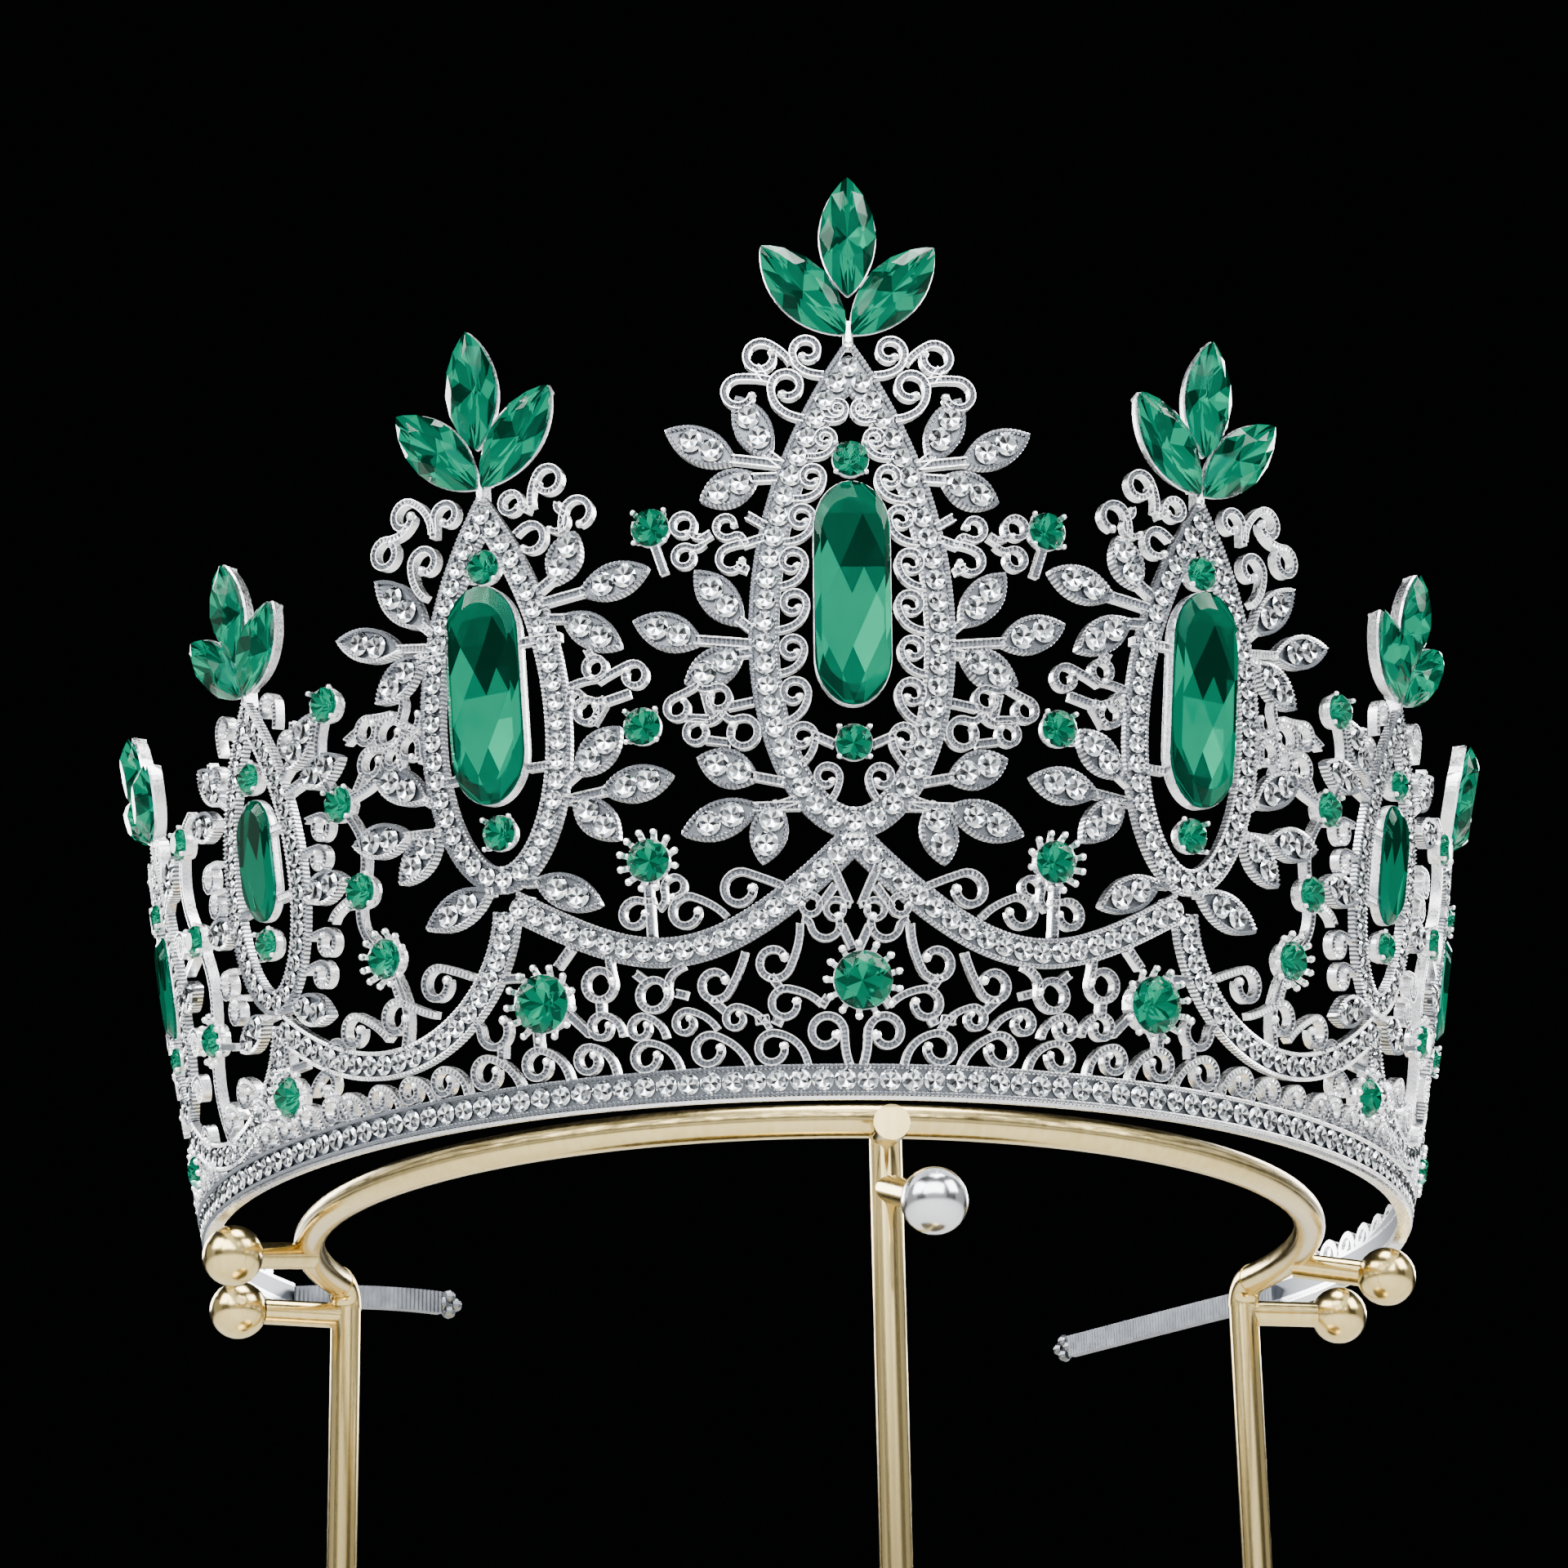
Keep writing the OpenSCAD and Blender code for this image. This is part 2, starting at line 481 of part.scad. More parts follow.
// Two clear stones lie in a row in each leaf of the three front panels
module leaf_crystals() {
    color("white") for (p = [3:5], v = leaves(p), side = [-1, 1]) {
        t = 0.5 + side * leaf_pitch / 2 / leaf_length(v);
        z = v[1] + (v[3] - v[1]) * t;
        on_wall(aside(angle_of(p), v[0] + (v[2] - v[0]) * t, z), z) translate([0, 0, leaf_air])
            cylinder(h = leaf_stone[1], r1 = leaf_stone[0], r2 = 0.62 * leaf_stone[0], $fn = round_n);
    }
}

// A straight wire from one place to another
module rod(from, to, d) {
    v = to - from;
    translate(from) rotate([0, acos(v[2] / norm(v)), atan2(v[1], v[0])])
        cylinder(h = norm(v), d = d, $fn = 32);
}

// Bent wire with its three legs, its pegs and their balls, all welded
module stand_wire() {
    turn = leg_angle - atan(bend_r / ring_r);
    leg_r = norm([ring_r, bend_r]);
    reach = turn + weld * 180 / PI / ring_r;
    ball_z = -ball_d / 2 - 2 * under_crown;
    front = at(front_leg, ring_r) + [0, ring_shift, 0];
    stub = [front[0], -stub_end, stub_z];
    color("palegoldenrod") union() {
        translate([0, 0, stand_h]) {
            translate([0, ring_shift, 0]) {
                rotate([0, 0, -90 - reach]) rotate_extrude(angle = 2 * reach, $fn = 96)
                    translate([ring_r, 0]) circle(d = wire_d, $fn = 32);
                for (s = [-1, 1]) rotate([0, 0, s * turn - 90]) mirror([0, s < 0 ? 1 : 0, 0])
                    translate([ring_r, 0, -bend_r]) rotate([90, 0, 90]) rotate_extrude(angle = 90, $fn = 48)
                        translate([bend_r, 0]) circle(d = wire_d + 2 * swell, $fn = 32);
            }
            for (v = PEGS) {
                ball = at(v[2], v[3]) + [0, 0, ball_z];
                rod(at(v[0], abs(v[0]) < leg_angle ? ring_r : leg_r) + [0, ring_shift, v[1]], ball, peg_d);
                translate(ball) sphere(d = ball_d, $fn = 32);
            }
            rod(front + [0, 0, stub_z], stub + [0, stub_disc[1] / 2, 0], peg_d);
            rod(stub + [0, stub_disc[1], -stub_drop], stub + [0, 0, -stub_drop], stub_disc[0]);
            rod(front + [0, 0, front_peg[0]], front_peg[1], peg_d);
            translate(front_peg[1]) sphere(d = ball_d, $fn = 32);
        }
        translate([0, ring_shift, base_t]) for (s = [-1, 1]) translate(at(s * leg_angle, leg_r))
            cylinder(h = stand_h - bend_r - base_t + weld, d = wire_d, $fn = 32);
        translate(front + [0, 0, base_t]) cylinder(h = stand_h - base_t, d = wire_d - 2 * swell, $fn = 32);
    }
}

module stand_base() {
    color("palegoldenrod") cylinder(h = base_t - under_crown, r = base_r, $fn = 96);
}

crown_frame();
stand_wire();
stand_base();
round_emeralds();
leaf_crystals();
for (p = [1:7]) {
    oval_emerald(p);
    base_emerald(p);
    for (i = [0:2]) finial_emerald(p, i);
}
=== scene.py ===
import math

import bpy
import numpy as np
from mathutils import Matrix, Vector


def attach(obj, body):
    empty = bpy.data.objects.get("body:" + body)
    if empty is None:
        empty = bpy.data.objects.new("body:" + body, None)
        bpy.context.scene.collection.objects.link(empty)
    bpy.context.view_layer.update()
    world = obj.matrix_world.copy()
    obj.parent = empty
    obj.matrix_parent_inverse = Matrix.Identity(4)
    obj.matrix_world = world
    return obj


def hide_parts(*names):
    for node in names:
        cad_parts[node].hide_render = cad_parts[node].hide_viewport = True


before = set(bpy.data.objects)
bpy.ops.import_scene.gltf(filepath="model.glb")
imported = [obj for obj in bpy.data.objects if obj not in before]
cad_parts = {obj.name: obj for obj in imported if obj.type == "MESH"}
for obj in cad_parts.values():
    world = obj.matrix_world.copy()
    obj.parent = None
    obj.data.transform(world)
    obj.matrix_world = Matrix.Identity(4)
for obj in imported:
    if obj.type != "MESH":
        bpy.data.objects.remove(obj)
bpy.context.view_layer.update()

# Camera
# The photo was taken from a little below the crown, with a long lens, so that the band's front curves up.
# The place, turn and lens come from a fit to where the band and the stones lie in it.
camera_data = bpy.data.cameras.new("camera")
camera_data.lens = 97.8
camera_data.sensor_width = 36
camera_data.clip_start = 0.01
camera = bpy.data.objects.new("camera", camera_data)
camera.location = (-0.04189, -0.54775, 0.02481)
camera.rotation_euler = [math.radians(v) for v in (109.13212, 1.01564, -3.81769)]
bpy.context.scene.collection.objects.link(camera)
bpy.context.scene.camera = camera

# Band
# A shallow channel of cast alloy, silver-plated, which the wall stands on. A beaded rail runs along its upper
# edge, and a plain lip with a second beaded rail along its lower one. Clear stones are glued in between.
STAND_H = 150.0  # height of the crown's lower edge above the table, mm
BAND_HALF = 118.0  # degrees that the band covers to each side
WALL_FOOT = 78.3  # radius of the wall's outer face at its foot, mm
WALL_LEAN = 0.216  # slope of the wall outwards at its foot
WALL_BEND = 0.00081  # how much of that slope is lost upwards, per mm
STEP = 0.27  # length of one half of a rib or bead along an edge, mm


def linear(text):
    """A colour written as an sRGB hex word, as linear light."""
    parts = [int(text[i:i + 2], 16) / 255 for i in (1, 3, 5)]
    return [v / 12.92 if v <= 0.04045 else ((v + 0.055) / 1.055) ** 2.4 for v in parts] + [1.0]


def node(tree, kind, links=(), **values):
    """A shader node with its inputs set by name, and linked from (input, source socket) pairs."""
    made = tree.nodes.new(kind)
    for name, value in values.items():
        label = name.replace("_", " ")
        if label in made.inputs:
            made.inputs[label].default_value = value
        else:
            setattr(made, name, value)
    for name, source in links:
        tree.links.new(source, made.inputs[name])
    return made


def material(name):
    made = bpy.data.materials.new(name)
    made.use_nodes = True
    made.node_tree.nodes.clear()
    return made, made.node_tree


# Bright silver plate over cast zinc alloy: near white, with a fine sand-like skin from the mould. The real
# grain is finer still, and this one is as coarse as it needs to be to show.
SAND = 0.385  # mm across a grain of the skin
PATCH = 11.0  # mm across a patch that is a little whiter
silver, tree = material("bright_silver_plate")
place = node(tree, "ShaderNodeTexCoord").outputs["Object"]
grain = node(tree, "ShaderNodeTexNoise", [("Vector", place)], Scale=1000 / SAND, Detail=3.0, Roughness=0.6)
cloud = node(tree, "ShaderNodeTexNoise", [("Vector", place)], Scale=1000 / PATCH, Detail=4.0)
# Inputs 6 and 7 of a colour mix are its two colours, and output 2 is what comes out
tone = node(tree, "ShaderNodeMix", [("Factor", cloud.outputs["Fac"])], data_type="RGBA")
tone.inputs[6].default_value = linear("#E3E4E8")
tone.inputs[7].default_value = linear("#F6F6F8")
rough = node(tree, "ShaderNodeMapRange", [("Value", grain.outputs["Fac"])], From_Min=0.3, From_Max=0.7,
             To_Min=0.18, To_Max=0.38)
bump = node(tree, "ShaderNodeBump", [("Height", grain.outputs["Fac"])], Strength=0.5, Distance=0.00006)
shade = node(tree, "ShaderNodeBsdfPrincipled",
             [("Base Color", tone.outputs[2]), ("Roughness", rough.outputs["Result"]),
              ("Normal", bump.outputs["Normal"])], Metallic=1.0)
node(tree, "ShaderNodeOutputMaterial", [("Surface", shade.outputs["BSDF"])])

# Painted shade: the same plate drawn grey and dull in grooves, channel floors and leaf cups and on every
# second notch flank, where shade falls on the bright plate
painted_shade_silver, tree = material("silver_plate_painted_shade")
shade = node(tree, "ShaderNodeBsdfPrincipled", Base_Color=linear("#63676D"), Metallic=1.0, Roughness=0.4)
node(tree, "ShaderNodeOutputMaterial", [("Surface", shade.outputs["BSDF"])])


def wall_r(z):
    """Radius of the wall's outer face at a height above the crown's lower edge."""
    return WALL_FOOT + WALL_LEAN * z - WALL_BEND * z * z


def seat(angle, z):
    """Places on the wall's face, with the directions there to the side, up the wall and out of it."""
    a = np.radians(np.asarray(angle, float))
    z = np.asarray(z, float)
    lean = np.arctan(WALL_LEAN - 2 * WALL_BEND * z)
    flat = np.zeros_like(a)
    radial = np.stack([np.sin(a), -np.cos(a), flat], -1)
    upright = np.stack([flat, flat, flat + 1], -1)
    side = np.stack([np.cos(a), np.sin(a), flat], -1)
    sin, cos = np.sin(lean)[..., None], np.cos(lean)[..., None]
    point = radial * wall_r(z)[..., None] + upright * (STAND_H + z)[..., None]
    return point, side, upright * cos + radial * sin, radial * cos - upright * sin


def aside(angle, path):
    """Places given to the side and up from a panel's middle line, as angles and heights on the wall."""
    path = np.asarray(path, float)
    return np.column_stack([angle + np.degrees(path[:, 0] / wall_r(path[:, 1])), path[:, 1]])


class Shape:
    """Points and faces in mm, gathered until they become one piece."""

    def __init__(self):
        self.points, self.faces, self.slots, self.count = [], [], [], 0

    def add(self, points, faces, slots=0):
        self.points.append(np.asarray(points, float).reshape(-1, 3))
        self.faces += [[int(i) + self.count for i in face] for face in faces]
        self.slots += [slots] * len(faces) if isinstance(slots, int) else slots
        self.count += len(self.points[-1])

    def piece(self, name, finish, record_slot, replaced=()):
        mesh = bpy.data.meshes.new(name)
        mesh.from_pydata((np.vstack(self.points) / 1000).tolist(), [], self.faces)
        for item in finish:
            mesh.materials.append(item)
        mesh.polygons.foreach_set("material_index", self.slots)
        mesh.validate()
        made = bpy.data.objects.new(name, mesh)
        bpy.context.scene.collection.objects.link(made)
        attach(made, "root")
        if replaced:
            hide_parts(*replaced)


def evenly(points, path, step):
    """The path's places again at even steps along its true length."""
    run = np.r_[0, np.cumsum(np.linalg.norm(np.diff(points, axis=0), axis=1))]
    keep = np.r_[True, np.diff(run) > 1e-6]
    count = max(4, 2 * int(round(run[-1] / step / 2)))
    at = np.linspace(0, run[-1], count + 1)
    return np.column_stack([np.interp(at, run[keep], path[keep, i]) for i in range(path.shape[1])])


def skin(shape, rings, closed, slot=0):
    """Faces over rings of points, each ring an array (points, 3); open ends are capped."""
    n, m = rings.shape[:2]
    faces = []
    for j in range(n if closed else n - 1):
        a, b = j * m, (j + 1) % n * m
        faces += [(a + i, a + (i + 1) % m, b + (i + 1) % m, b + i) for i in range(m)]
    if not closed:
        faces += [tuple(range(m - 1, -1, -1)), tuple(range((n - 1) * m, n * m))]
    shape.add(rings, faces, slot)


def strip(shape, path, profile, closed=False, out=0.0, step=STEP, slot=0, notched=()):
    """A bar that follows places on the wall. profile(i) gives its section at step i as (side, out) pairs.
    The section's edges that notched names get painted shade on every second step, where a notch's flank lies
    in shade."""
    path = np.asarray(path, float)
    if closed:
        path = np.vstack([path, path[:1]])
    path = evenly(seat(path[:, 0], path[:, 1])[0], path, step)
    if closed:
        path = path[:-1]
    point, _, _, normal = seat(path[:, 0], path[:, 1])
    if closed:
        along = np.roll(point, -1, 0) - np.roll(point, 1, 0)
    else:
        along = np.gradient(point, axis=0)
    across = np.cross(along, normal)
    across /= np.linalg.norm(across, axis=1)[:, None]
    section = np.array([profile(i) for i in range(len(path))])
    rings = (point[:, None] + across[:, None] * section[:, :, :1]
             + normal[:, None] * (section[:, :, 1:] + out))
    if notched:
        slot = [int(j % 2 and i in notched) for j in range(len(path) - 1) for i in range(section.shape[1])]
        slot += [0] * (section.shape[1] if closed else 2)
    skin(shape, rings, closed, slot)


def beaded(width, depth, high, low):
    """Section of a rail whose top is notched into a row of beads, between a high and a low level."""
    half = width / 2

    def profile(i):
        top = high if i % 2 else low
        return [(-half, -depth), (-half, top * 0.5), (-half * 0.45, top), (half * 0.45, top),
                (half, top * 0.5), (half, -depth)]
    return profile


SHADED_RAIL_EDGES = (0, 1, 2, 3, 4)  # edges of that section with painted shade on every second step: all but its back


def plain(width, low, high):
    half = width / 2
    return lambda i: [(-half, low), (-half, high), (half, high), (half, low)]


# columns: height of its middle, section, 1 where it is drawn in painted shade, notched edges
BAND_BARS = [(0.2, plain(0.4, -1.4, 0.3), 0, ()), (0.72, beaded(0.5, 1.4, 0.5, 0.1), 0, SHADED_RAIL_EDGES),
             (2.2, plain(2.8, -1.4, -0.3), 1, ()), (3.75, beaded(0.5, 1.4, 0.5, 0.1), 0, SHADED_RAIL_EDGES)]
band = Shape()
round_band = np.linspace(-BAND_HALF, BAND_HALF, 240)
for height, section, slot, notched in BAND_BARS:
    path = np.column_stack([round_band, np.full(len(round_band), height)])
    strip(band, path, section, slot=slot, notched=notched)
band.piece("band_channel", [silver, painted_shade_silver], "silver_plate", ["crown_frame"])

# Clear stones
# Small round stones of clear lead glass, cut with a table and crown facets, and backed with foil. They are
# glued side by side into the channels, and in pairs into the leaf settings.
BAND_STONE, BAND_PITCH = 1.26, 2.57  # a stone's radius and the step to the next, mm
BAND_ROW = 2.24  # height of the row above the crown's lower edge, mm
# Shares of a stone's radius: how far out each ring of corners lies, and how high it stands
KITES, STAR, TABLE_HIGH, SUNK = (0.74, 0.24), (0.42, 0.16), 0.06, 0.5


# Foil-backed glass is drawn as what shows in it: a facet sends back a lamp or the dark room, so neighbours
# differ strongly. Three mirrors, white, grey and dark, stand for that.
def foiled(name, tint, rough):
    made, tree = material(name)
    shade = node(tree, "ShaderNodeBsdfPrincipled", Base_Color=linear(tint), Metallic=1.0, Roughness=rough)
    node(tree, "ShaderNodeOutputMaterial", [("Surface", shade.outputs["BSDF"])])
    return made


crystal = [foiled("clear_glass_flashing", "#FFFFFF", 0.12), foiled("clear_glass_grey", "#B0B5BA", 0.2),
           foiled("clear_glass_dark", "#4A4F55", 0.2)]
clear = Shape()


def clear_stone(angle, z, r, out, spin):
    """A clear stone: inside, a star of facets seen through the table, then crown facets out to its edge."""
    point, side, up, normal = (v[0] for v in seat([angle], [z]))
    a = spin + np.arange(16) * math.pi / 8
    circle = r * (np.cos(a)[:, None] * side + np.sin(a)[:, None] * up)
    base, outward = point + out * normal, r * normal
    points = np.vstack([base + circle, base + KITES[0] * circle[::2] + KITES[1] * outward,
                        base + STAR[0] * circle[1::2] + STAR[1] * outward, base + TABLE_HIGH * outward,
                        base + circle - SUNK * outward])
    faces, slots = [], []
    for i in range(8):
        j, rim, kite, star = (i + 1) % 8, 2 * i, 16 + i, 24 + i
        faces += [(32, kite, star), (32, star, 16 + j), (kite, 16 + j, star),
                  (rim, rim + 1, kite), (rim + 1, (rim + 2) % 16, 16 + j), (rim + 1, 16 + j, kite)]
        slots += [0, 2, 1, 1, 0, 1] if i % 2 else [2, 0, 1, 0, 1, 2]
    faces += [(33 + i, 33 + (i + 1) % 16, (i + 1) % 16, i) for i in range(16)]
    faces.append(tuple(range(48, 32, -1)))
    clear.add(points, faces, slots + [2] * 17)


band_stones = int(2 * math.radians(BAND_HALF) * wall_r(2.2) / BAND_PITCH)
for i in range(band_stones):
    clear_stone(-BAND_HALF + (i + 0.5) * 2 * BAND_HALF / band_stones, BAND_ROW, BAND_STONE, 0.14, i * 0.7)

# Panel frames
# Each of the seven panels is a pointed almond drawn by two beaded rails, with a row of clear stones between.
# The frames are cast in one with the wall, and a thin floor closes them behind the stones.
# columns: angle, height of its foot, height of its apex, half width, width across the rails, finial's scale
PANELS = [(0, 29.6, 89.5, 12.1, 3.5, 1.0), (28.8, 26.2, 74.6, 9.9, 3.1, 1.0),
          (55.2, 19, 58.7, 8.6, 2.9, 0.88), (80, 13.8, 51.4, 7.2, 2.7, 0.75)]
WIDEST, TAPER = 0.39, 2.1  # share of its height where a panel is widest, and how full its sides are above
FRAME_STONE = 1.27  # radius of the largest stones that a frame holds, mm
FLOOR_STEP = 0.8  # length of one piece of a channel's smooth floor, mm


def kind(p):
    return abs(p - 4)


def sign_of(p):
    return -1 if p < 4 else 1


def angle_of(p):
    return sign_of(p) * PANELS[kind(p)][0]


def frame_half(k, z):
    t = np.clip((z - PANELS[k][1]) / (PANELS[k][2] - PANELS[k][1]), 0, 1)
    low = np.sqrt(np.clip(1 - ((WIDEST - t) / WIDEST) ** 2, 0, 1))
    high = 1 - (np.clip(t - WIDEST, 0, 1) / (1 - WIDEST)) ** TAPER
    return PANELS[k][3] * np.where(t < WIDEST, low, high)


def frame_path(k, inset):
    """The almond's outline, moved inwards, from its apex down one side and up the other."""
    foot, h = PANELS[k][1], PANELS[k][2] - PANELS[k][1]
    z = foot + h * (1 - np.cos(np.linspace(0, math.pi, 60))) / 2
    right = np.column_stack([frame_half(k, z), z])
    around = np.gradient(right, axis=0)
    around /= np.linalg.norm(around, axis=1)[:, None]
    right = right + inset * np.column_stack([-around[:, 1], around[:, 0]])
    right = right[right[:, 0] >= 0]
    right[0, 0] = right[-1, 0] = 0
    return np.vstack([right, (right * [-1, 1])[-2:0:-1]])


def row_of_stones(path, r, pitch, between):
    """Clear stones along a path on the wall, at the ends of its even steps or between them."""
    places = evenly(seat(path[:, 0], path[:, 1])[0], path, pitch)
    places = (places[1:] + places[:-1]) / 2 if between else places[:-1]
    for i, (angle, z) in enumerate(places):
        clear_stone(angle, z, r, 0.16, i * 0.9)


frames = Shape()
for p in range(1, 8):
    k, angle, wide = kind(p), angle_of(p), PANELS[kind(p)][4]
    for inset, section in [(0.26, beaded(0.6, 0.9, 0.4, -0.05)), (wide - 0.2, beaded(0.4, 0.9, 0.34, 0.1))]:
        strip(frames, aside(angle, frame_path(k, inset)), section, closed=True, notched=SHADED_RAIL_EDGES)
    middle = aside(angle, frame_path(k, wide / 2))
    # Its floor is drawn in the painted shade of the silver
    strip(frames, middle, plain(wide - 0.5, -1.0, -0.3), closed=True, step=FLOOR_STEP, slot=1)
    r = min(FRAME_STONE, wide / 2 - 0.4)
    row_of_stones(np.vstack([middle, middle[:1]]), r, 2.04 * r, False)
frames.piece("panel_frames", [silver, painted_shade_silver], "silver_plate")

# Festoons
# Channels like the band's hang in swags from panel to panel, cast in one with the wall. Clear stones lie side
# by side in them, between two beaded rails.
SWAG_RAIL = 1.45  # mm from the middle of a channel to each rail
SWAG_STONE, SWAG_PITCH = 1.2, 2.46  # a stone's radius and the step to the next, mm
# columns: angle and height of four control points
FESTOONS = [[(-0.34, 30.2), (12.42, 11.23), (18.46, 16.5), (28.3, 24.8)],
            [(28.8, 24), (29.78, 12.06), (41.08, 0.97), (55.2, 17.5)],
            [(55.2, 17.5), (57, 7), (68, 0), (80, 12.6)],
            [(80, 12.6), (83, 6), (91, 5), (100, 3)]]


def bezier(points, count):
    points = np.asarray(points, float)
    t = np.linspace(0, 1, count)[:, None]
    u = 1 - t
    return u ** 3 * points[0] + 3 * u * u * t * points[1] + 3 * u * t * t * points[2] + t ** 3 * points[3]


def beside(path, offset):
    """A path on the wall moved to its side by so many mm."""
    scale = np.column_stack([np.radians(wall_r(path[:, 1])), np.ones(len(path))])
    along = np.gradient(path, axis=0) * scale
    along /= np.linalg.norm(along, axis=1)[:, None]
    return path + offset * np.column_stack([-along[:, 1], along[:, 0]]) / scale


festoons = Shape()
for row in FESTOONS:
    for s in (-1, 1):
        middle = bezier(row, 40) * [s, 1]
        for offset in (-SWAG_RAIL, SWAG_RAIL):
            strip(festoons, beside(middle, offset), beaded(0.5, 0.9, 0.36, -0.02), notched=SHADED_RAIL_EDGES)
        # Its floor is drawn in the painted shade of the silver
        strip(festoons, middle, plain(2.5, -1.0, -0.3), step=FLOOR_STEP, slot=1)
        row_of_stones(middle, SWAG_STONE, SWAG_PITCH, True)
festoons.piece("festoons", [silver, painted_shade_silver], "silver_plate")

# Scroll work
# Between the panels the wall is a net of flat scrolls, cast in one with it. Each ribbon has two plain raised
# edges with fine ribs across between them, and the curl's free end carries a small bead.


def both_sides(rows):
    """Rows for one side of a panel, and again for its other side, where a curl turns the other way."""
    other = []
    for x1, z1, x2, z2, *curl in rows:
        if curl:
            curl[1:3] = 180 - curl[1], -curl[2]
        other.append((-x1, z1, -x2, z2, *curl))
    return rows + other


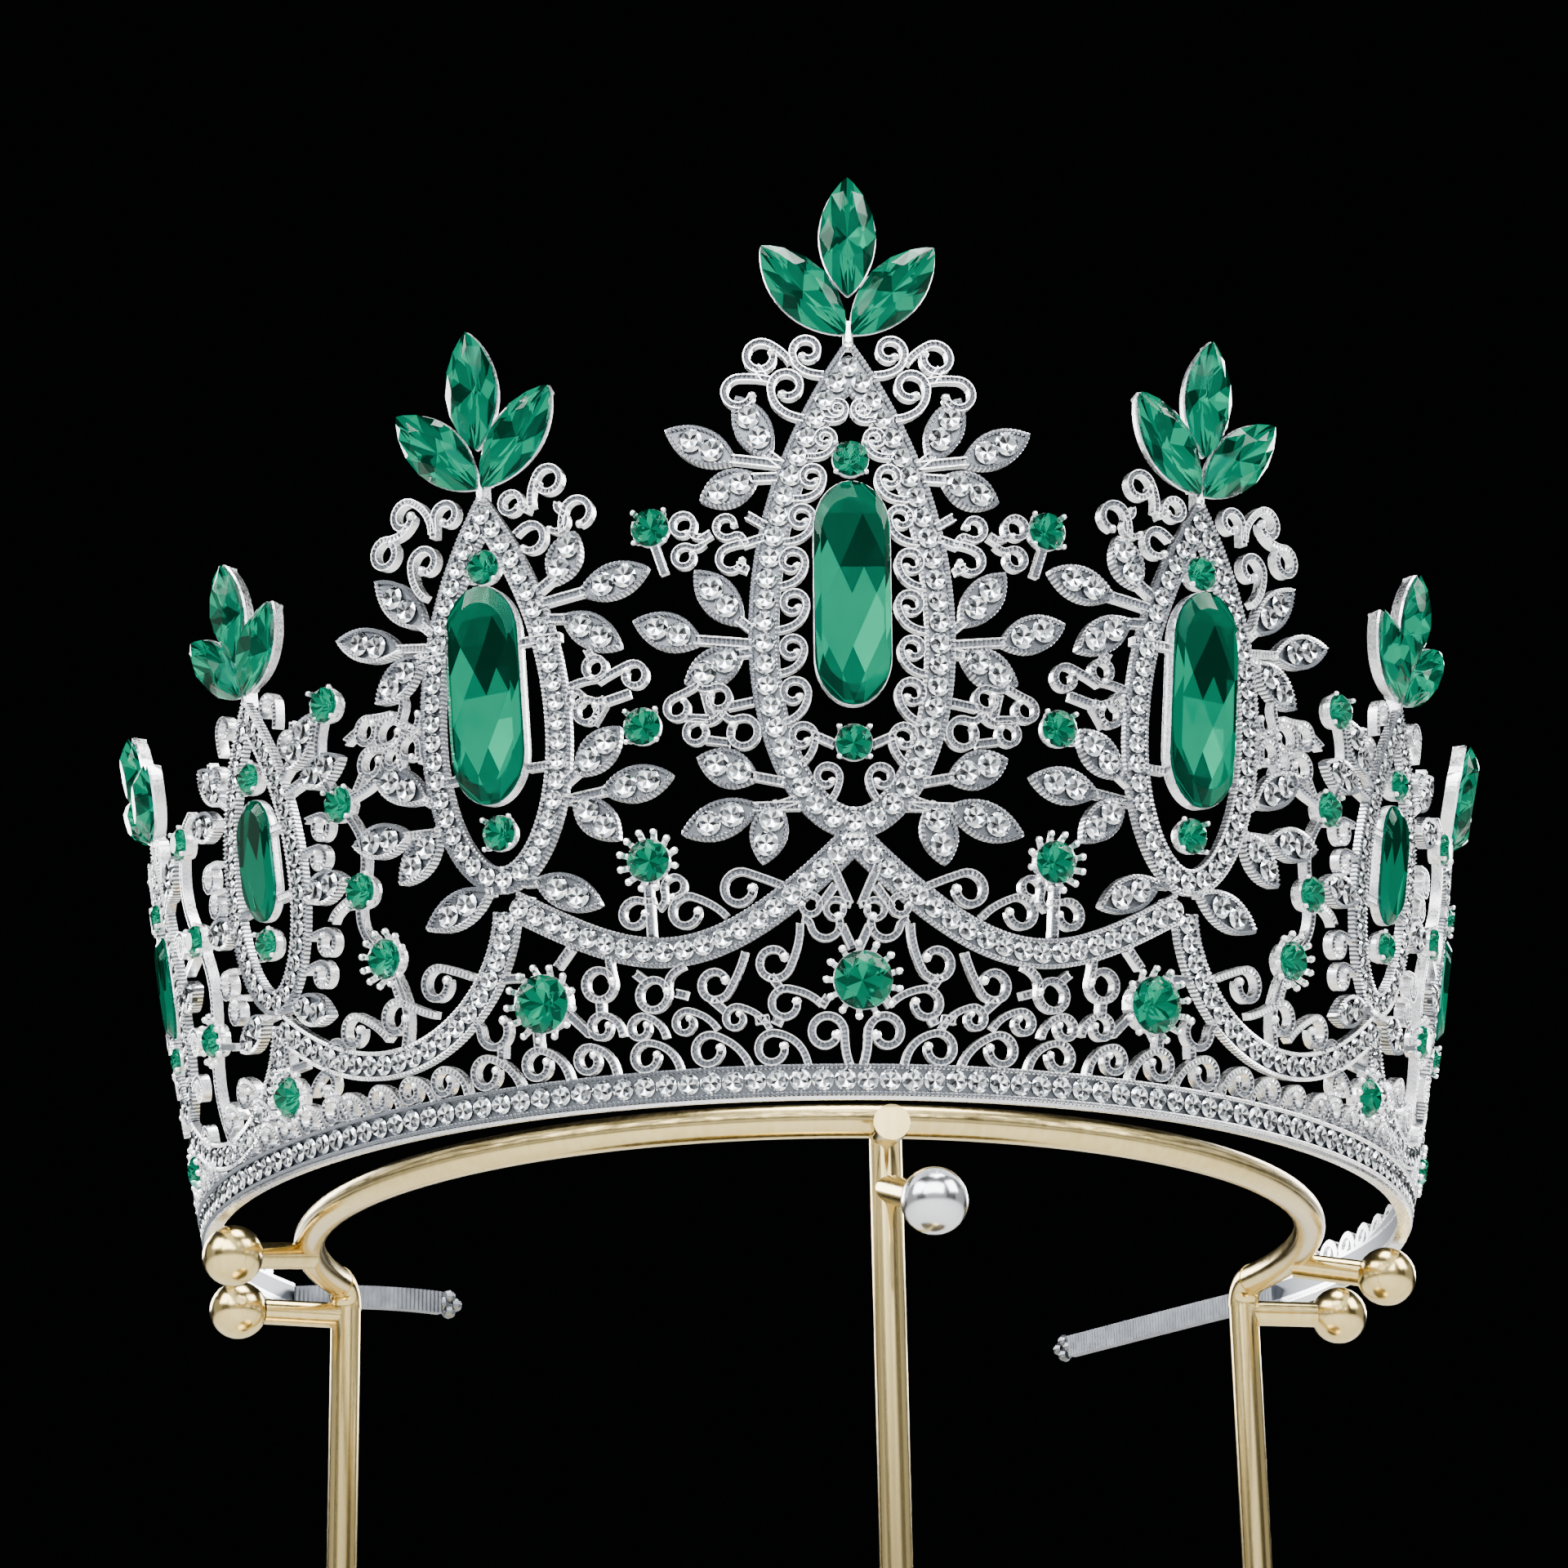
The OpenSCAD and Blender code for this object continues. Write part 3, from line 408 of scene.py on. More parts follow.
# Sides are given for the left half, as seen from the front, and the right half mirrors them.
# columns: side and height of the foot, side and height of the eye, radius, start angle, sweep, share of the
# radius left at the end
SCROLLS = [
    both_sides([
        (-0.75, 3.8, -3.45, 7.5, 2.1, 0, 345, 0.6), (-5.5, 3.8, -9.6, 5.8, 1.8, 80, 290, 0.75),
        (-12.2, 3.9, -16.9, 5.9, 1.8, 70, 300, 0.75), (-20.2, 3.8, -24.2, 5.6, 1.65, 80, 290, 0.75),
        (-3.9, 10.6, -8.1, 10.8, 1.75, 80, 290, 0.75), (-9.9, 8.0, -13.8, 9.3, 1.4, 75, 340, 0.5),
        (-15.9, 8.2, -19.6, 9.1, 1.45, 75, 340, 0.5), (-21.9, 7.6, -24.9, 8.9, 1.45, 70, 320, 0.55),
        (-6.4, 19.9, -9.4, 15.5, 1.95, -25, -310, 0.7), (-12.7, 16.8, -16.2, 13.3, 1.85, -30, -310, 0.7),
        (-19.7, 15.6, -23.4, 12.6, 1.75, 10, -360, 0.95), (-6.2, 20.4, -3.4, 19.8, 1.75, 190, 200, 0.9),
        (-8.4, 24.2, -13.3, 24.0, 2.0, 70, 290, 0.75), (-14.8, 20.9, -19.5, 21.7, 1.85, 70, 290, 0.75),
        (-23.2, 23.3, -25.6, 21.9, 1.65, 70, 290, 0.75),
        (-2.8, 33.9, -3.2, 36.6, 1.55, -10, 330, 0.5), (-6.0, 38.2, -6.0, 41.3, 1.6, -10, 330, 0.5),
        (-8.0, 43.0, -6.9, 46.5, 1.7, -10, 330, 0.5), (-8.6, 48.8, -7.1, 51.7, 1.5, -10, 330, 0.5),
        (-8.7, 53.9, -6.9, 57.0, 1.6, -10, 330, 0.5), (-8.4, 59.1, -7.0, 62.0, 1.6, -10, 330, 0.5),
        (-8.0, 64.4, -5.9, 67.3, 1.5, -10, 330, 0.5), (-6.9, 69.6, -4.6, 72.2, 1.45, -10, 330, 0.5),
        (-5.4, 74.8, -3.0, 76.9, 1.2, -10, 330, 0.5), (-3.2, 79.4, -1.5, 80.6, 1.1, -10, 320, 0.5),
        (-18.2, 47.8, -20.5, 45.3, 1.35, 110, 300, 0.85), (-18.2, 47.7, -15.7, 46.1, 1.45, 110, -330, 0.7),
        (-15.2, 44.4, -18.3, 42.3, 1.3, 70, 330, 0.85), (-15.2, 44.4, -12.8, 42.0, 1.75, 110, -330, 0.85),
        (-17.2, 65.4, -19.8, 67.0, 1.4, -30, 330, 0.8), (-12.3, 64.2, -14.6, 66.6, 1.5, -60, -300, 0.6),
        (-17.2, 64.7, -19.6, 63.2, 1.3, 60, 320, 0.8), (-12.3, 64.4, -14.1, 62.6, 1.5, 110, 240, 0.9),
        (-5.4, 79.4, -7.3, 83.4, 1.95, 180, -300, 0.6), (-3.0, 84.8, -4.9, 87.8, 1.75, 180, -310, 0.5),
        (-6.9, 86.4, -10.4, 87.2, 1.85, 60, 320, 0.8), (-9.2, 84.2, -13.0, 82.9, 1.8, 90, 250, 0.9),
        (-22.8, 22.2, -20.9, 24.6, 1.3, 200, -300, 0.8),
        (-0.5, 21.9, -2.3, 21.4, 1.15, 60, 320, 0.8), (-4.6, 24.4, -5.2, 21.9, 1.2, 120, -310, 0.8)]),
    [(0.0, 3.9, -4.4, 5.9, 1.8, 70, 300, 0.75), (-7.2, 3.9, -10.4, 5.7, 1.6, 75, 310, 0.6),
     (-12.1, 3.9, -15.4, 5.5, 1.45, 75, 330, 0.6), (-17.3, 3.9, -20.5, 5.4, 1.45, 75, 330, 0.55),
     (-22.8, 3.9, -25.8, 5.4, 1.5, 75, 330, 0.5), (6.3, 3.9, 2.4, 6.0, 1.75, 75, 300, 0.7),
     (-5.2, 17.2, -10.1, 17.1, 1.95, 70, 300, 0.75), (-10.7, 13.6, -16.6, 14.3, 1.9, 60, 290, 0.8),
     (-18.0, 12.0, -23.6, 13.9, 1.9, 65, 300, 0.6), (-5.6, 12.0, -2.8, 10.6, 1.9, 180, 220, 0.9),
     (12.0, 3.9, 8.8, 5.8, 1.65, 75, 330, 0.55), (13.2, 8.2, 10.7, 9.4, 1.5, 75, 300, 0.6),
     (12.4, 17.4, 10.9, 14.3, 1.75, 10, -360, 0.95),
     (-6.6, 70.0, -4.7, 72.4, 1.8, 180, -310, 0.5), (-6.8, 70.6, -10.6, 73.4, 2.0, 60, 300, 0.45),
     (-10.2, 72.2, -13.8, 69.6, 1.75, 80, 330, 0.85), (-8.2, 62.9, -8.0, 67.2, 2.0, 180, -300, 0.5),
     (6.4, 71.0, 4.0, 72.3, 1.4, 0, 330, 0.8), (6.7, 71.4, 8.9, 74.5, 1.6, 150, -330, 0.9),
     (10.4, 68.0, 12.4, 70.0, 1.7, 160, -240, 0.9), (4.4, 68.4, 6.4, 67.7, 1.7, 120, -250, 0.9),
     (10.0, 71.6, 9.7, 69.2, 1.3, 60, -200, 0.9),
     (-14.0, 50.0, -18.0, 48.7, 1.6, 80, 320, 0.8), (-13.4, 46.7, -17.7, 44.7, 1.7, 80, 290, 0.8),
     (-12.4, 51.6, -11.4, 48.8, 1.5, 150, 230, 0.9), (-10.0, 43.4, -11.8, 45.4, 1.5, -10, 300, 0.8),
     (-10.4, 47.2, -14.7, 47.7, 1.7, 60, 300, 0.9), (-12.8, 43.0, -14.4, 44.7, 1.2, 0, 330, 0.9),
     (10.0, 49.1, 13.4, 51.0, 1.3, -90, 340, 0.9), (13.6, 49.3, 18.1, 49.6, 1.5, 110, -330, 0.7),
     (14.4, 47.3, 12.1, 46.0, 1.45, 60, 330, 0.85), (9.9, 49.0, 10.8, 47.6, 0.95, 90, -340, 0.9)],
    [(x, 3.9, x - 3, 5.6, 1.5, 75, 320, 0.6) for x in (-13.2, -8.4, -3.6, 1.2, 6.0, 10.8)]
    + [(-7.2, 11.2, -10.6, 11.6, 1.7, 70, 300, 0.7), (-12.4, 9.2, -16.0, 9.8, 1.7, 70, 300, 0.7),
       (7.2, 11.2, 10.6, 11.8, 1.7, 110, -300, 0.7)]
    + both_sides([(-4.6, 8.0, -7.8, 8.8, 1.5, 70, 300, 0.7), (-6.2, 53.0, -5.0, 56.0, 1.6, 180, -310, 0.5),
                  (-9.6, 53.0, -8.2, 50.4, 1.5, 110, -330, 0.7), (-8.8, 36.6, -11.8, 35.4, 1.4, 90, 330, 0.7),
                  (-10.2, 40.4, -12.8, 39.0, 1.5, 90, 330, 0.8), (-8.4, 26.4, -11.4, 25.2, 1.5, 90, 330, 0.8),
                  (-6.6, 22.6, -9.8, 21.6, 1.5, 90, 330, 0.7)]),
    [(x, 3.9, x - 3, 5.5, 1.5, 75, 320, 0.6) for x in (-13.2, -8.4, -3.6, 1.2, 6.0, 10.8)]
    + both_sides([(-5.6, 9.0, -8.8, 9.6, 1.5, 70, 300, 0.7), (-5.0, 44.8, -5.0, 48.4, 1.6, 180, -310, 0.5),
                  (-8.4, 35.4, -11.0, 34.2, 1.5, 90, 330, 0.8), (-8.2, 22.6, -11.0, 21.6, 1.5, 90, 330, 0.8),
                  (-6.0, 17.0, -9.2, 16.0, 1.5, 90, 330, 0.7)])]
# Straight ribbed straps that tie scrolls, stones and channels together
# columns: side and height of one end, side and height of the other
STRAPS = [
    both_sides([
        (-2.7, 26.6, -0.7, 22.0), (-2.3, 24.2, -4.2, 21.6), (-24.0, 25.2, -23.6, 19.2),
        (-1.6, 19.6, -0.4, 17.0), (-25.6, 15.2, -24.4, 14.2), (-8.4, 8.6, -9.6, 9.2),
        (-14.6, 45.1, -11.6, 45.6), (-19.6, 44.1, -16.8, 43.8), (-17.3, 46.9, -16.6, 44.2),
        (-17.2, 41.4, -14.4, 40.9), (-4.9, 41.6, -2.2, 40.4), (-12.2, 61.2, -13.6, 61.8),
        (-16.4, 65.8, -17.8, 65.0), (-9.9, 84.4, -11.0, 86.0), (-4.0, 10.4, -3.2, 11.6),
        (-9.8, 14.0, -8.6, 12.4), (-16.6, 11.6, -15.0, 10.2), (-19.4, 12.2, -20.8, 12.6),
        (-11.6, 9.0, -10.0, 9.2), (-10.3, 65.0, -12.7, 64.3), (-10.0, 66.4, -12.2, 67.8)]),
    [(-9.4, 55.3, -4.2, 55.3), (-9.4, 40.3, -4.2, 40.3), (9.4, 55.3, 4.2, 55.3), (9.4, 40.3, 4.2, 40.3),
     (-19.0, 43.8, -20.4, 41.8), (-21.6, 48.2, -19.2, 49.2), (14.4, 46.9, 17.4, 47.6),
     (13.2, 52.2, 12.6, 53.4), (14.2, 46.6, 12.6, 44.4), (7.8, 18.8, 5.9, 16.8), (-1.6, 16.4, 1.2, 16.2),
     (2.7, 9.8, 2.7, 7.8), (6.4, 11.8, 9.2, 8.8), (-2.0, 8.8, -2.2, 7.4), (10.8, 12.6, 10.8, 10.8),
     (-15.6, 15.6, -17.0, 20.4), (21.5, 65.0, 22.5, 61.4), (1.2, 24.2, 3.6, 24.8)],
    both_sides([(-7.6, 41, -3.0, 41), (-7.6, 32.5, -3.0, 32.5), (-1.2, 17.6, -0.8, 11.2)])
    + [(-4.0, 12.0, 4.0, 12.0)],
    both_sides([(-6.2, 34.5, -2.6, 34.5), (-6.2, 29, -2.6, 29), (-1.0, 12.6, -0.7, 9.6)])]
# Twigs that carry the round stones between the side panels, each bowed a little to the side
# columns: angle and height of one end, angle and height of the other, bow in degrees
TWIGS = [(45, 53.5, 44.3, 41, 1.6), (44.3, 41, 42.8, 30, -1.4), (42.8, 30, 41, 21.4, 1.2),
         (41, 21.4, 40.3, 9.2, -1.3), (69, 46, 68, 33, 1.6), (68, 33, 67.5, 20, -1.4),
         (67.5, 20, 67, 6.2, 1.3), (45, 53.5, 48.2, 50.2, 0.8), (44.3, 41, 40.4, 42.6, -0.8),
         (42.8, 30, 46.6, 27.4, 0.8), (69, 46, 66.4, 48.6, 0.8), (68, 33, 72.2, 30.4, -0.8),
         (67.5, 20, 63.6, 17.8, 0.8)]
RIBBON_W, RIBBON_GROWS = 0.4, 0.25  # a ribbon is the first wide in mm, and the second times the curl's radius
STRAP_W, TWIG_W = 1.0, 0.95
STONE_CLEAR = 1.9  # mm from a round stone's middle to where a twig stops
DEGREE = 1.5  # mm along the wall, at the height of the side panels


def ribbed(width):
    """Section of a ribbon with plain raised edges and low ribs across."""
    half, lip = width / 2, 0.17 * width
    depth, high, low = 1.0, 0.3, -0.12

    def profile(i):
        top = high - 0.06 if i % 2 else low
        return [(-half, -depth), (-half, high), (-half + lip, high), (-half + lip + 0.05, top),
                (half - lip - 0.05, top), (half - lip, high), (half, high), (half, -depth)]
    return profile


SHADED_RIBBON_EDGES = (2, 3, 4)  # edges of that section between its raised ones, with painted shade on every second step


def bead(shape, base, across, up, out, r, n=8):
    """A small ball with a flat back, turned about an axis that points out."""
    a = np.arange(n) * 2 * math.pi / n
    circle = np.cos(a)[:, None] * across + np.sin(a)[:, None] * up
    profile = [(0.05, 1.0), (0.7, 0.72), (1.0, 0.0), (0.72, -0.7)]
    skin(shape, np.array([base + wide * r * circle + high * r * out for wide, high in profile]), False)


def scroll_path(row):
    """A scroll from its foot, in a bend, into an arc whose radius shrinks round the eye."""
    foot, eye = np.array(row[0:2]), np.array(row[2:4])
    r, start, sweep, share = row[4:]
    t = np.linspace(0, 1, 28)
    a = np.radians(start + sweep * t)
    radius = r * (1 - (1 - share) * t)
    arc = eye + radius[:, None] * np.column_stack([np.cos(a), np.sin(a)])
    heading = np.array([-math.sin(a[0]), math.cos(a[0])]) * (1 if sweep > 0 else -1)
    bend = arc[0] - heading * 0.6 * np.linalg.norm(arc[0] - foot)
    u = np.linspace(0, 1, 12)[:-1, None]
    return np.vstack([(1 - u) ** 2 * foot + 2 * u * (1 - u) * bend + u * u * arc[0], arc])


for group, wanted in [("scroll_net_front", (3, 4, 5)), ("scroll_net_sides", (1, 2, 6, 7))]:
    net = Shape()
    for p in wanted:
        flip = [-sign_of(p), 1]
        for row in SCROLLS[kind(p)]:
            path = aside(angle_of(p), scroll_path(row) * flip)
            strip(net, path, ribbed(RIBBON_W + RIBBON_GROWS * row[4]), out=0.05, notched=SHADED_RIBBON_EDGES)
            point, across, up, out = (v[0] for v in seat(path[-1:, 0], path[-1:, 1]))
            bead(net, point + 0.15 * out, across, up, out, 0.32 * row[4])
        for x1, z1, x2, z2 in STRAPS[kind(p)]:
            ends = np.linspace([x1, z1], [x2, z2], 4) * flip
            strip(net, aside(angle_of(p), ends), ribbed(STRAP_W), notched=SHADED_RIBBON_EDGES)
    if group == "scroll_net_sides":
        t = np.linspace(0, 1, 30)
        stones = np.array([row[:2] for row in TWIGS])
        for a1, z1, a2, z2, bow in TWIGS:
            for s in (-1, 1):
                path = np.column_stack([a1 + (a2 - a1) * t + bow * np.sin(math.pi * t), z1 + (z2 - z1) * t])
                gap = np.hypot((path[:, :1] - stones[:, 0]) * DEGREE, path[:, 1:] - stones[:, 1]).min(1)
                strip(net, path[gap > STONE_CLEAR] * [s, 1], ribbed(TWIG_W), notched=SHADED_RIBBON_EDGES)
    net.piece(group, [silver, painted_shade_silver], "silver_plate")

# Row above the band, carried on round the back
# The same scrolls run on along the band behind the last panels, cast in one with it. The photo hides them, so
# they are a plain row of one form.
BACK_FROM, BACK_PITCH, BACK_SCROLLS = 91.5, 3.9, 6  # angle of the first, degrees to the next, and how many
BACK_ROW = (0, 3.9, 3.0, 5.5, 1.5, 105, -320, 0.6)  # columns as in the net of scrolls
back_row = Shape()
for s in (-1, 1):
    for i in range(BACK_SCROLLS):
        path = aside(BACK_FROM + BACK_PITCH * i, scroll_path(BACK_ROW)) * [s, 1]
        strip(back_row, path, ribbed(0.9), out=0.05, notched=SHADED_RIBBON_EDGES)
back_row.piece("scroll_row_back", [silver, painted_shade_silver], "silver_plate")

# Leaf settings
# Pointed cups with a beaded rim spray out from the panels, each holding two clear stones in a row.
# They are cast in one with the wall and tied to the panels by short stems.
# columns: side and height of the root, side and height of the tip, for the right half
LEAVES = [
    both_sides([
        (9.3, 74.2, 13.5, 82.8), (13, 74.2, 22.2, 79), (10.5, 72.7, 18, 69.8),
        (12.6, 54.5, 18.6, 61.8), (17.2, 52.8, 26.1, 56.2), (12.4, 51.8, 19.9, 48),
        (10.8, 36.5, 18.5, 39.5), (10.6, 33.7, 20.5, 30.5), (9, 34.4, 10.8, 26.5)]),
    [(-8.6, 61.5, -12, 68), (-11.6, 60, -21, 62.5), (-9.4, 58, -17, 53),
     (-9.8, 38.5, -16.2, 44), (-12.6, 36.3, -22.2, 37.7), (-9.4, 36.4, -15, 30.5),
     (-3.6, 27.4, -12.3, 23.2),
     (8.2, 59, 15.9, 67), (11.6, 57.2, 22.7, 61), (9.1, 56.4, 16.7, 51.5),
     (9.3, 38.5, 18.2, 44), (12.2, 35, 21.9, 35.6), (8, 35.4, 14.8, 29.3),
     (1.4, 27, 11.6, 23.5)],
    both_sides([(7.4, 47, 13.4, 53.4), (9, 45, 17.6, 46.8), (7.6, 31.4, 15.8, 32.4),
                (2.8, 19.6, 10.4, 16.6)]),
    both_sides([(6.2, 41, 12.4, 46), (6.6, 27.4, 13.8, 28)])]
LEAF_W, NARROWER = 4.5, 0.2  # a leaf's width, and what it loses from one panel to the next, mm
LEAF_STONE = 1.46  # radius of each of its two stones, mm
STONE_APART, STONE_OUT = 1.42, 0.26  # their distance from the leaf's middle, and out from the wall, mm
RIM_INSET = 0.28  # from the leaf's outline in to the middle of its rim, mm
STEM_DROP = 0.4  # from the leaf's root down to where its stem meets the frame, mm
leaf_rims, leaf_cups = Shape(), Shape()
for p in range(1, 8):
    width = LEAF_W - NARROWER * kind(p)
    for x1, z1, x2, z2 in LEAVES[kind(p)]:
        x1, x2 = x1 * sign_of(p), x2 * sign_of(p)
        root, axis = np.array([x1, z1]), np.array([x2 - x1, z2 - z1])
        length = np.linalg.norm(axis)
        axis /= length
        aslant = np.array([-axis[1], axis[0]])
        t = (1 - np.cos(np.linspace(0, math.pi, 14))) / 2
        middle = np.outer(t * length, axis)
        swell = np.outer(width / 2 * (1 - np.abs(2 * t - 1) ** TAPER), aslant)
        loop = root + np.vstack([middle + swell, (middle - swell)[-2:0:-1]])
        centre = root + axis * length / 2
        rim = aside(angle_of(p), loop + RIM_INSET * (centre - loop) / (width / 2))
        strip(leaf_rims, rim, beaded(0.5, 1.2, 0.42, 0.0), closed=True, notched=SHADED_RAIL_EDGES)
        point, _, _, normal = seat(rim[:, 0], rim[:, 1])
        n = len(rim)
        sides = [(i, i + n, (i + 1) % n + n, (i + 1) % n) for i in range(n)]
        leaf_cups.add(np.vstack([point - 0.2 * normal, point - 1.1 * normal]),
                      [tuple(range(n)), tuple(range(2 * n - 1, n - 1, -1))] + sides)
        for side in (-1, 1):
            angle, z = aside(angle_of(p), [centre + side * STONE_APART * axis])[0]
            clear_stone(angle, z, LEAF_STONE, STONE_OUT, side + x1)
        foot = z1 - STEM_DROP
        rail = math.copysign(min(abs(x1), float(frame_half(kind(p), foot)) - 0.3), x1)
        stem = np.linspace([rail, foot], root + 1.2 * axis, 4)
        strip(leaf_rims, aside(angle_of(p), stem), ribbed(1.1), notched=SHADED_RIBBON_EDGES)
leaf_rims.piece("leaf_rims", [silver, painted_shade_silver], "silver_plate")
# The cups are drawn wholly in the painted shade of the silver
leaf_cups.piece("leaf_cups", [painted_shade_silver], "silver_plate")
clear.piece("clear_stones", crystal, "crystal_glass", ["leaf_crystals"])

# Green stones
# Emerald-green cut glass with foil behind it: light goes in at the front, is thrown back by the foil under
# the lower facets and comes out tinted. All green stones of the crown share this glass and these foils.
emerald, tree = material("emerald_green_glass")
# The tint on the mirror light keeps a reflected lamp green, as it is inside real glass
shade = node(tree, "ShaderNodeBsdfPrincipled", Base_Color=linear("#6FE9CC"), Roughness=0.0, IOR=1.54,
             Transmission_Weight=1.0, Specular_Tint=linear("#1C6E52"))
node(tree, "ShaderNodeOutputMaterial", [("Surface", shade.outputs["BSDF"])])
FOIL_PATCH = 4.5  # mm across a lighter patch of the foil


def green_foil(name, dark, light, glow):
    """Smooth green foil, a mirror. Its glow stands for light that goes round inside a stone several times."""
    made, tree = material(name)
    place = node(tree, "ShaderNodeTexCoord").outputs["Object"]
    patch = node(tree, "ShaderNodeTexNoise", [("Vector", place)], Scale=1000 / FOIL_PATCH, Detail=2.0)
    tone = node(tree, "ShaderNodeMix", [("Factor", patch.outputs["Fac"])], data_type="RGBA")
    tone.inputs[6].default_value = linear(dark)
    tone.inputs[7].default_value = linear(light)
    shade = node(tree, "ShaderNodeBsdfPrincipled", [("Base Color", tone.outputs[2])], Metallic=1.0,
                 Roughness=0.1, Specular_Tint=linear(light), Emission_Color=linear("#0CA382"),
                 Emission_Strength=glow)
    node(tree, "ShaderNodeOutputMaterial", [("Surface", shade.outputs["BSDF"])])
    return made


# A facet gets one of the four foils by its number in this list, so that neighbours differ as in real stones.
# The foils are painted light and shade: lit and shaded copies of one foil, with more or less painted glow
green = [emerald, green_foil("green_foil_bright", "#031F19", "#042B23", 0.62),
         green_foil("green_foil_deep", "#021A15", "#032821", 0.09),
         green_foil("green_foil_middle", "#063028", "#094238", 0.24),
         green_foil("green_foil_vivid", "#052E25", "#083A2E", 1.25)]

# Oval stones
# A long stone with straight sides hangs in each panel. It has a broad table with a bevel round it, and below
# that a lattice of diamond facets. A thin-walled cup, open at the front, holds it.
# columns: height of its middle, length, width, how far it stands out
OVALS = [(58.2, 26.8, 8.9, 0.9), (49.4, 26.3, 9.5, 1.9), (38, 15.2, 6.4, 0.5), (31.8, 13.6, 5.6, 0.5)]
OVAL_DEPTH, OVAL_TABLE = 0.2, 0.84  # depth as a share of its width, and the table's as one of its outline
BEVEL = 0.75  # height of the bevel, mm
FACET_L, FACET_W = 7.5, 2.9  # a stone has one row of facets, and one column, to each side for so many mm


def tilted(angle, z, lean=0.0):
    """Place and directions on the wall, leaning out further by so many degrees."""
    point, side, up, out = (v[0] for v in seat([angle], [z]))
    s, c = math.sin(math.radians(lean)), math.cos(math.radians(lean))
    return point, side, up * c + out * s, out * c - up * s


def oval_outline(length, width):
    """A long shape with straight sides and elliptical ends; its angle runs evenly along its edge."""
    half, cap = width / 2, 0.66 * width
    turn = np.linspace(0, math.pi, 40)
    top = np.column_stack([half * np.cos(turn), length / 2 - cap + cap * np.sin(turn)])
    path = np.vstack([[[half, 0]], top, -top, [[half, 0]]])
    run = np.r_[0, np.cumsum(np.linalg.norm(np.diff(path, axis=0), axis=1))] * 2 * math.pi
    run /= run[-1] / (2 * math.pi)

    def outline(a):
        return [np.interp(a % (2 * math.pi), run, path[:, i]) for i in (0, 1)]
    return outline


def lattice_stone(shape, base, axes, outline, rows, columns, deep):
    """A long stone: broad table and a bevel of triangles above, a lattice of foiled diamond facets below."""
    side, up, out = axes
    n = 40
    turn = np.arange(n) * 2 * math.pi / n
    rim = np.array([outline(a) for a in turn])
    top = OVAL_TABLE * np.array([outline(a + math.pi / n) for a in turn])
    rim = rim[:, :1] * side + rim[:, 1:] * up
    points = np.vstack([base + rim, base + top[:, :1] * side + top[:, 1:] * up + BEVEL * out,
                        base + 0.99 * rim - (deep + 0.15) * out])
    glass = [tuple(range(n, 2 * n))]
    wall = []
    for i in range(n):
        j = (i + 1) % n
        glass += [(i, j, n + i), (n + i, j, n + j)]
        wall.append((i, 2 * n + i, 2 * n + j, j))
    # A foil wall and floor close the stone behind the lattice
    back = tuple(range(3 * n - 1, 2 * n - 1, -1))
    shape.add(points, glass + wall + [back], [0] * len(glass) + [3] * len(wall) + [2])
    # The lattice lies in a shallow bowl that is lowest a little above the middle, with slightly uneven facets
    rim = np.array([outline(a) for a in np.arange(400) * math.pi / 200])
    long, right = rim[:, 1].max(), rim[rim[:, 0] > 0]
    right = right[np.argsort(right[:, 1])]
    spots, nodes = {}, []
    for j in range(-rows, rows + 1):
        y = j / rows * (long - 0.5)
        half = 0.96 * float(np.interp(y, right[:, 1], right[:, 0]))
        for i in range(-columns, columns + 1):
            if (i + j) % 2 == 0:
                spots[i, j] = len(nodes)
                level = -deep + 0.02 * i * i + 0.06 * (j - 1) ** 2 + 0.11 * math.sin(3.9 * i + 2.3 * j)
                nodes.append((i / columns * half, y, level))
    # Its foils, painted light and shade: dark near both ends, bright and vivid ones in turn between, with an
    # uneven border
    mesh, tints = [], []
    for j in range(-rows, rows + 1):
        for i in range(-columns, columns + 1):
            corners = [spots[c] for c in ((i - 1, j), (i, j - 1), (i + 1, j), (i, j + 1)) if c in spots]
            if (i + j) % 2 and len(corners) > 2:
                mesh.append(tuple(corners))
                height = j / rows + 0.16 * math.sin(5.1 * i + 2.7 * j)
                third = (i + 2 * j) % 3 == 0
                if height > 0.6:
                    tints.append(3)
                elif height > 0.2:
                    tints.append(3 if third else 2)
                elif height < -0.65:
                    tints.append(2 + i % 2)
                else:
                    tints.append(4 if third else 1)
    # A last ring of facets joins the lattice to the stone's edge
    edge = [v for (i, j), v in spots.items() if abs(i) == columns or abs(j) == rows]
    edge.sort(key=lambda v: math.atan2(nodes[v][1] / long, nodes[v][0] / right[:, 0].max()))
    for v in edge:
        away = np.hypot(rim[:, 0] - 1.04 * nodes[v][0], rim[:, 1] - 1.04 * nodes[v][1])
        nodes.append((*rim[np.argmin(away)], -0.05))
    first, count = len(spots), len(edge)
    mesh += [(edge[i], first + i, first + (i + 1) % count, edge[(i + 1) % count]) for i in range(count)]
    tints += [1 + (i % 3 == 0) for i in range(count)]
    nodes = np.array(nodes)
    shape.add(base + nodes[:, :1] * side + nodes[:, 1:2] * up + nodes[:, 2:] * out, mesh, tints)


def cup(shape, base, axes, outline, n, levels):
    """A setting that follows a stone's outline. levels gives (distance outside the stone, height) pairs."""
    side, up, out = axes
    edge = np.array([outline(a) for a in np.arange(n) * 2 * math.pi / n])
    along = np.roll(edge, -1, 0) - np.roll(edge, 1, 0)
    away = np.column_stack([along[:, 1], -along[:, 0]]) / np.linalg.norm(along, axis=1)[:, None]
    rings = []
    for offset, height in levels:
        flat = edge + offset * away
        rings.append(base + flat[:, :1] * side + flat[:, 1:] * up + height * out)
    skin(shape, np.array(rings), False)


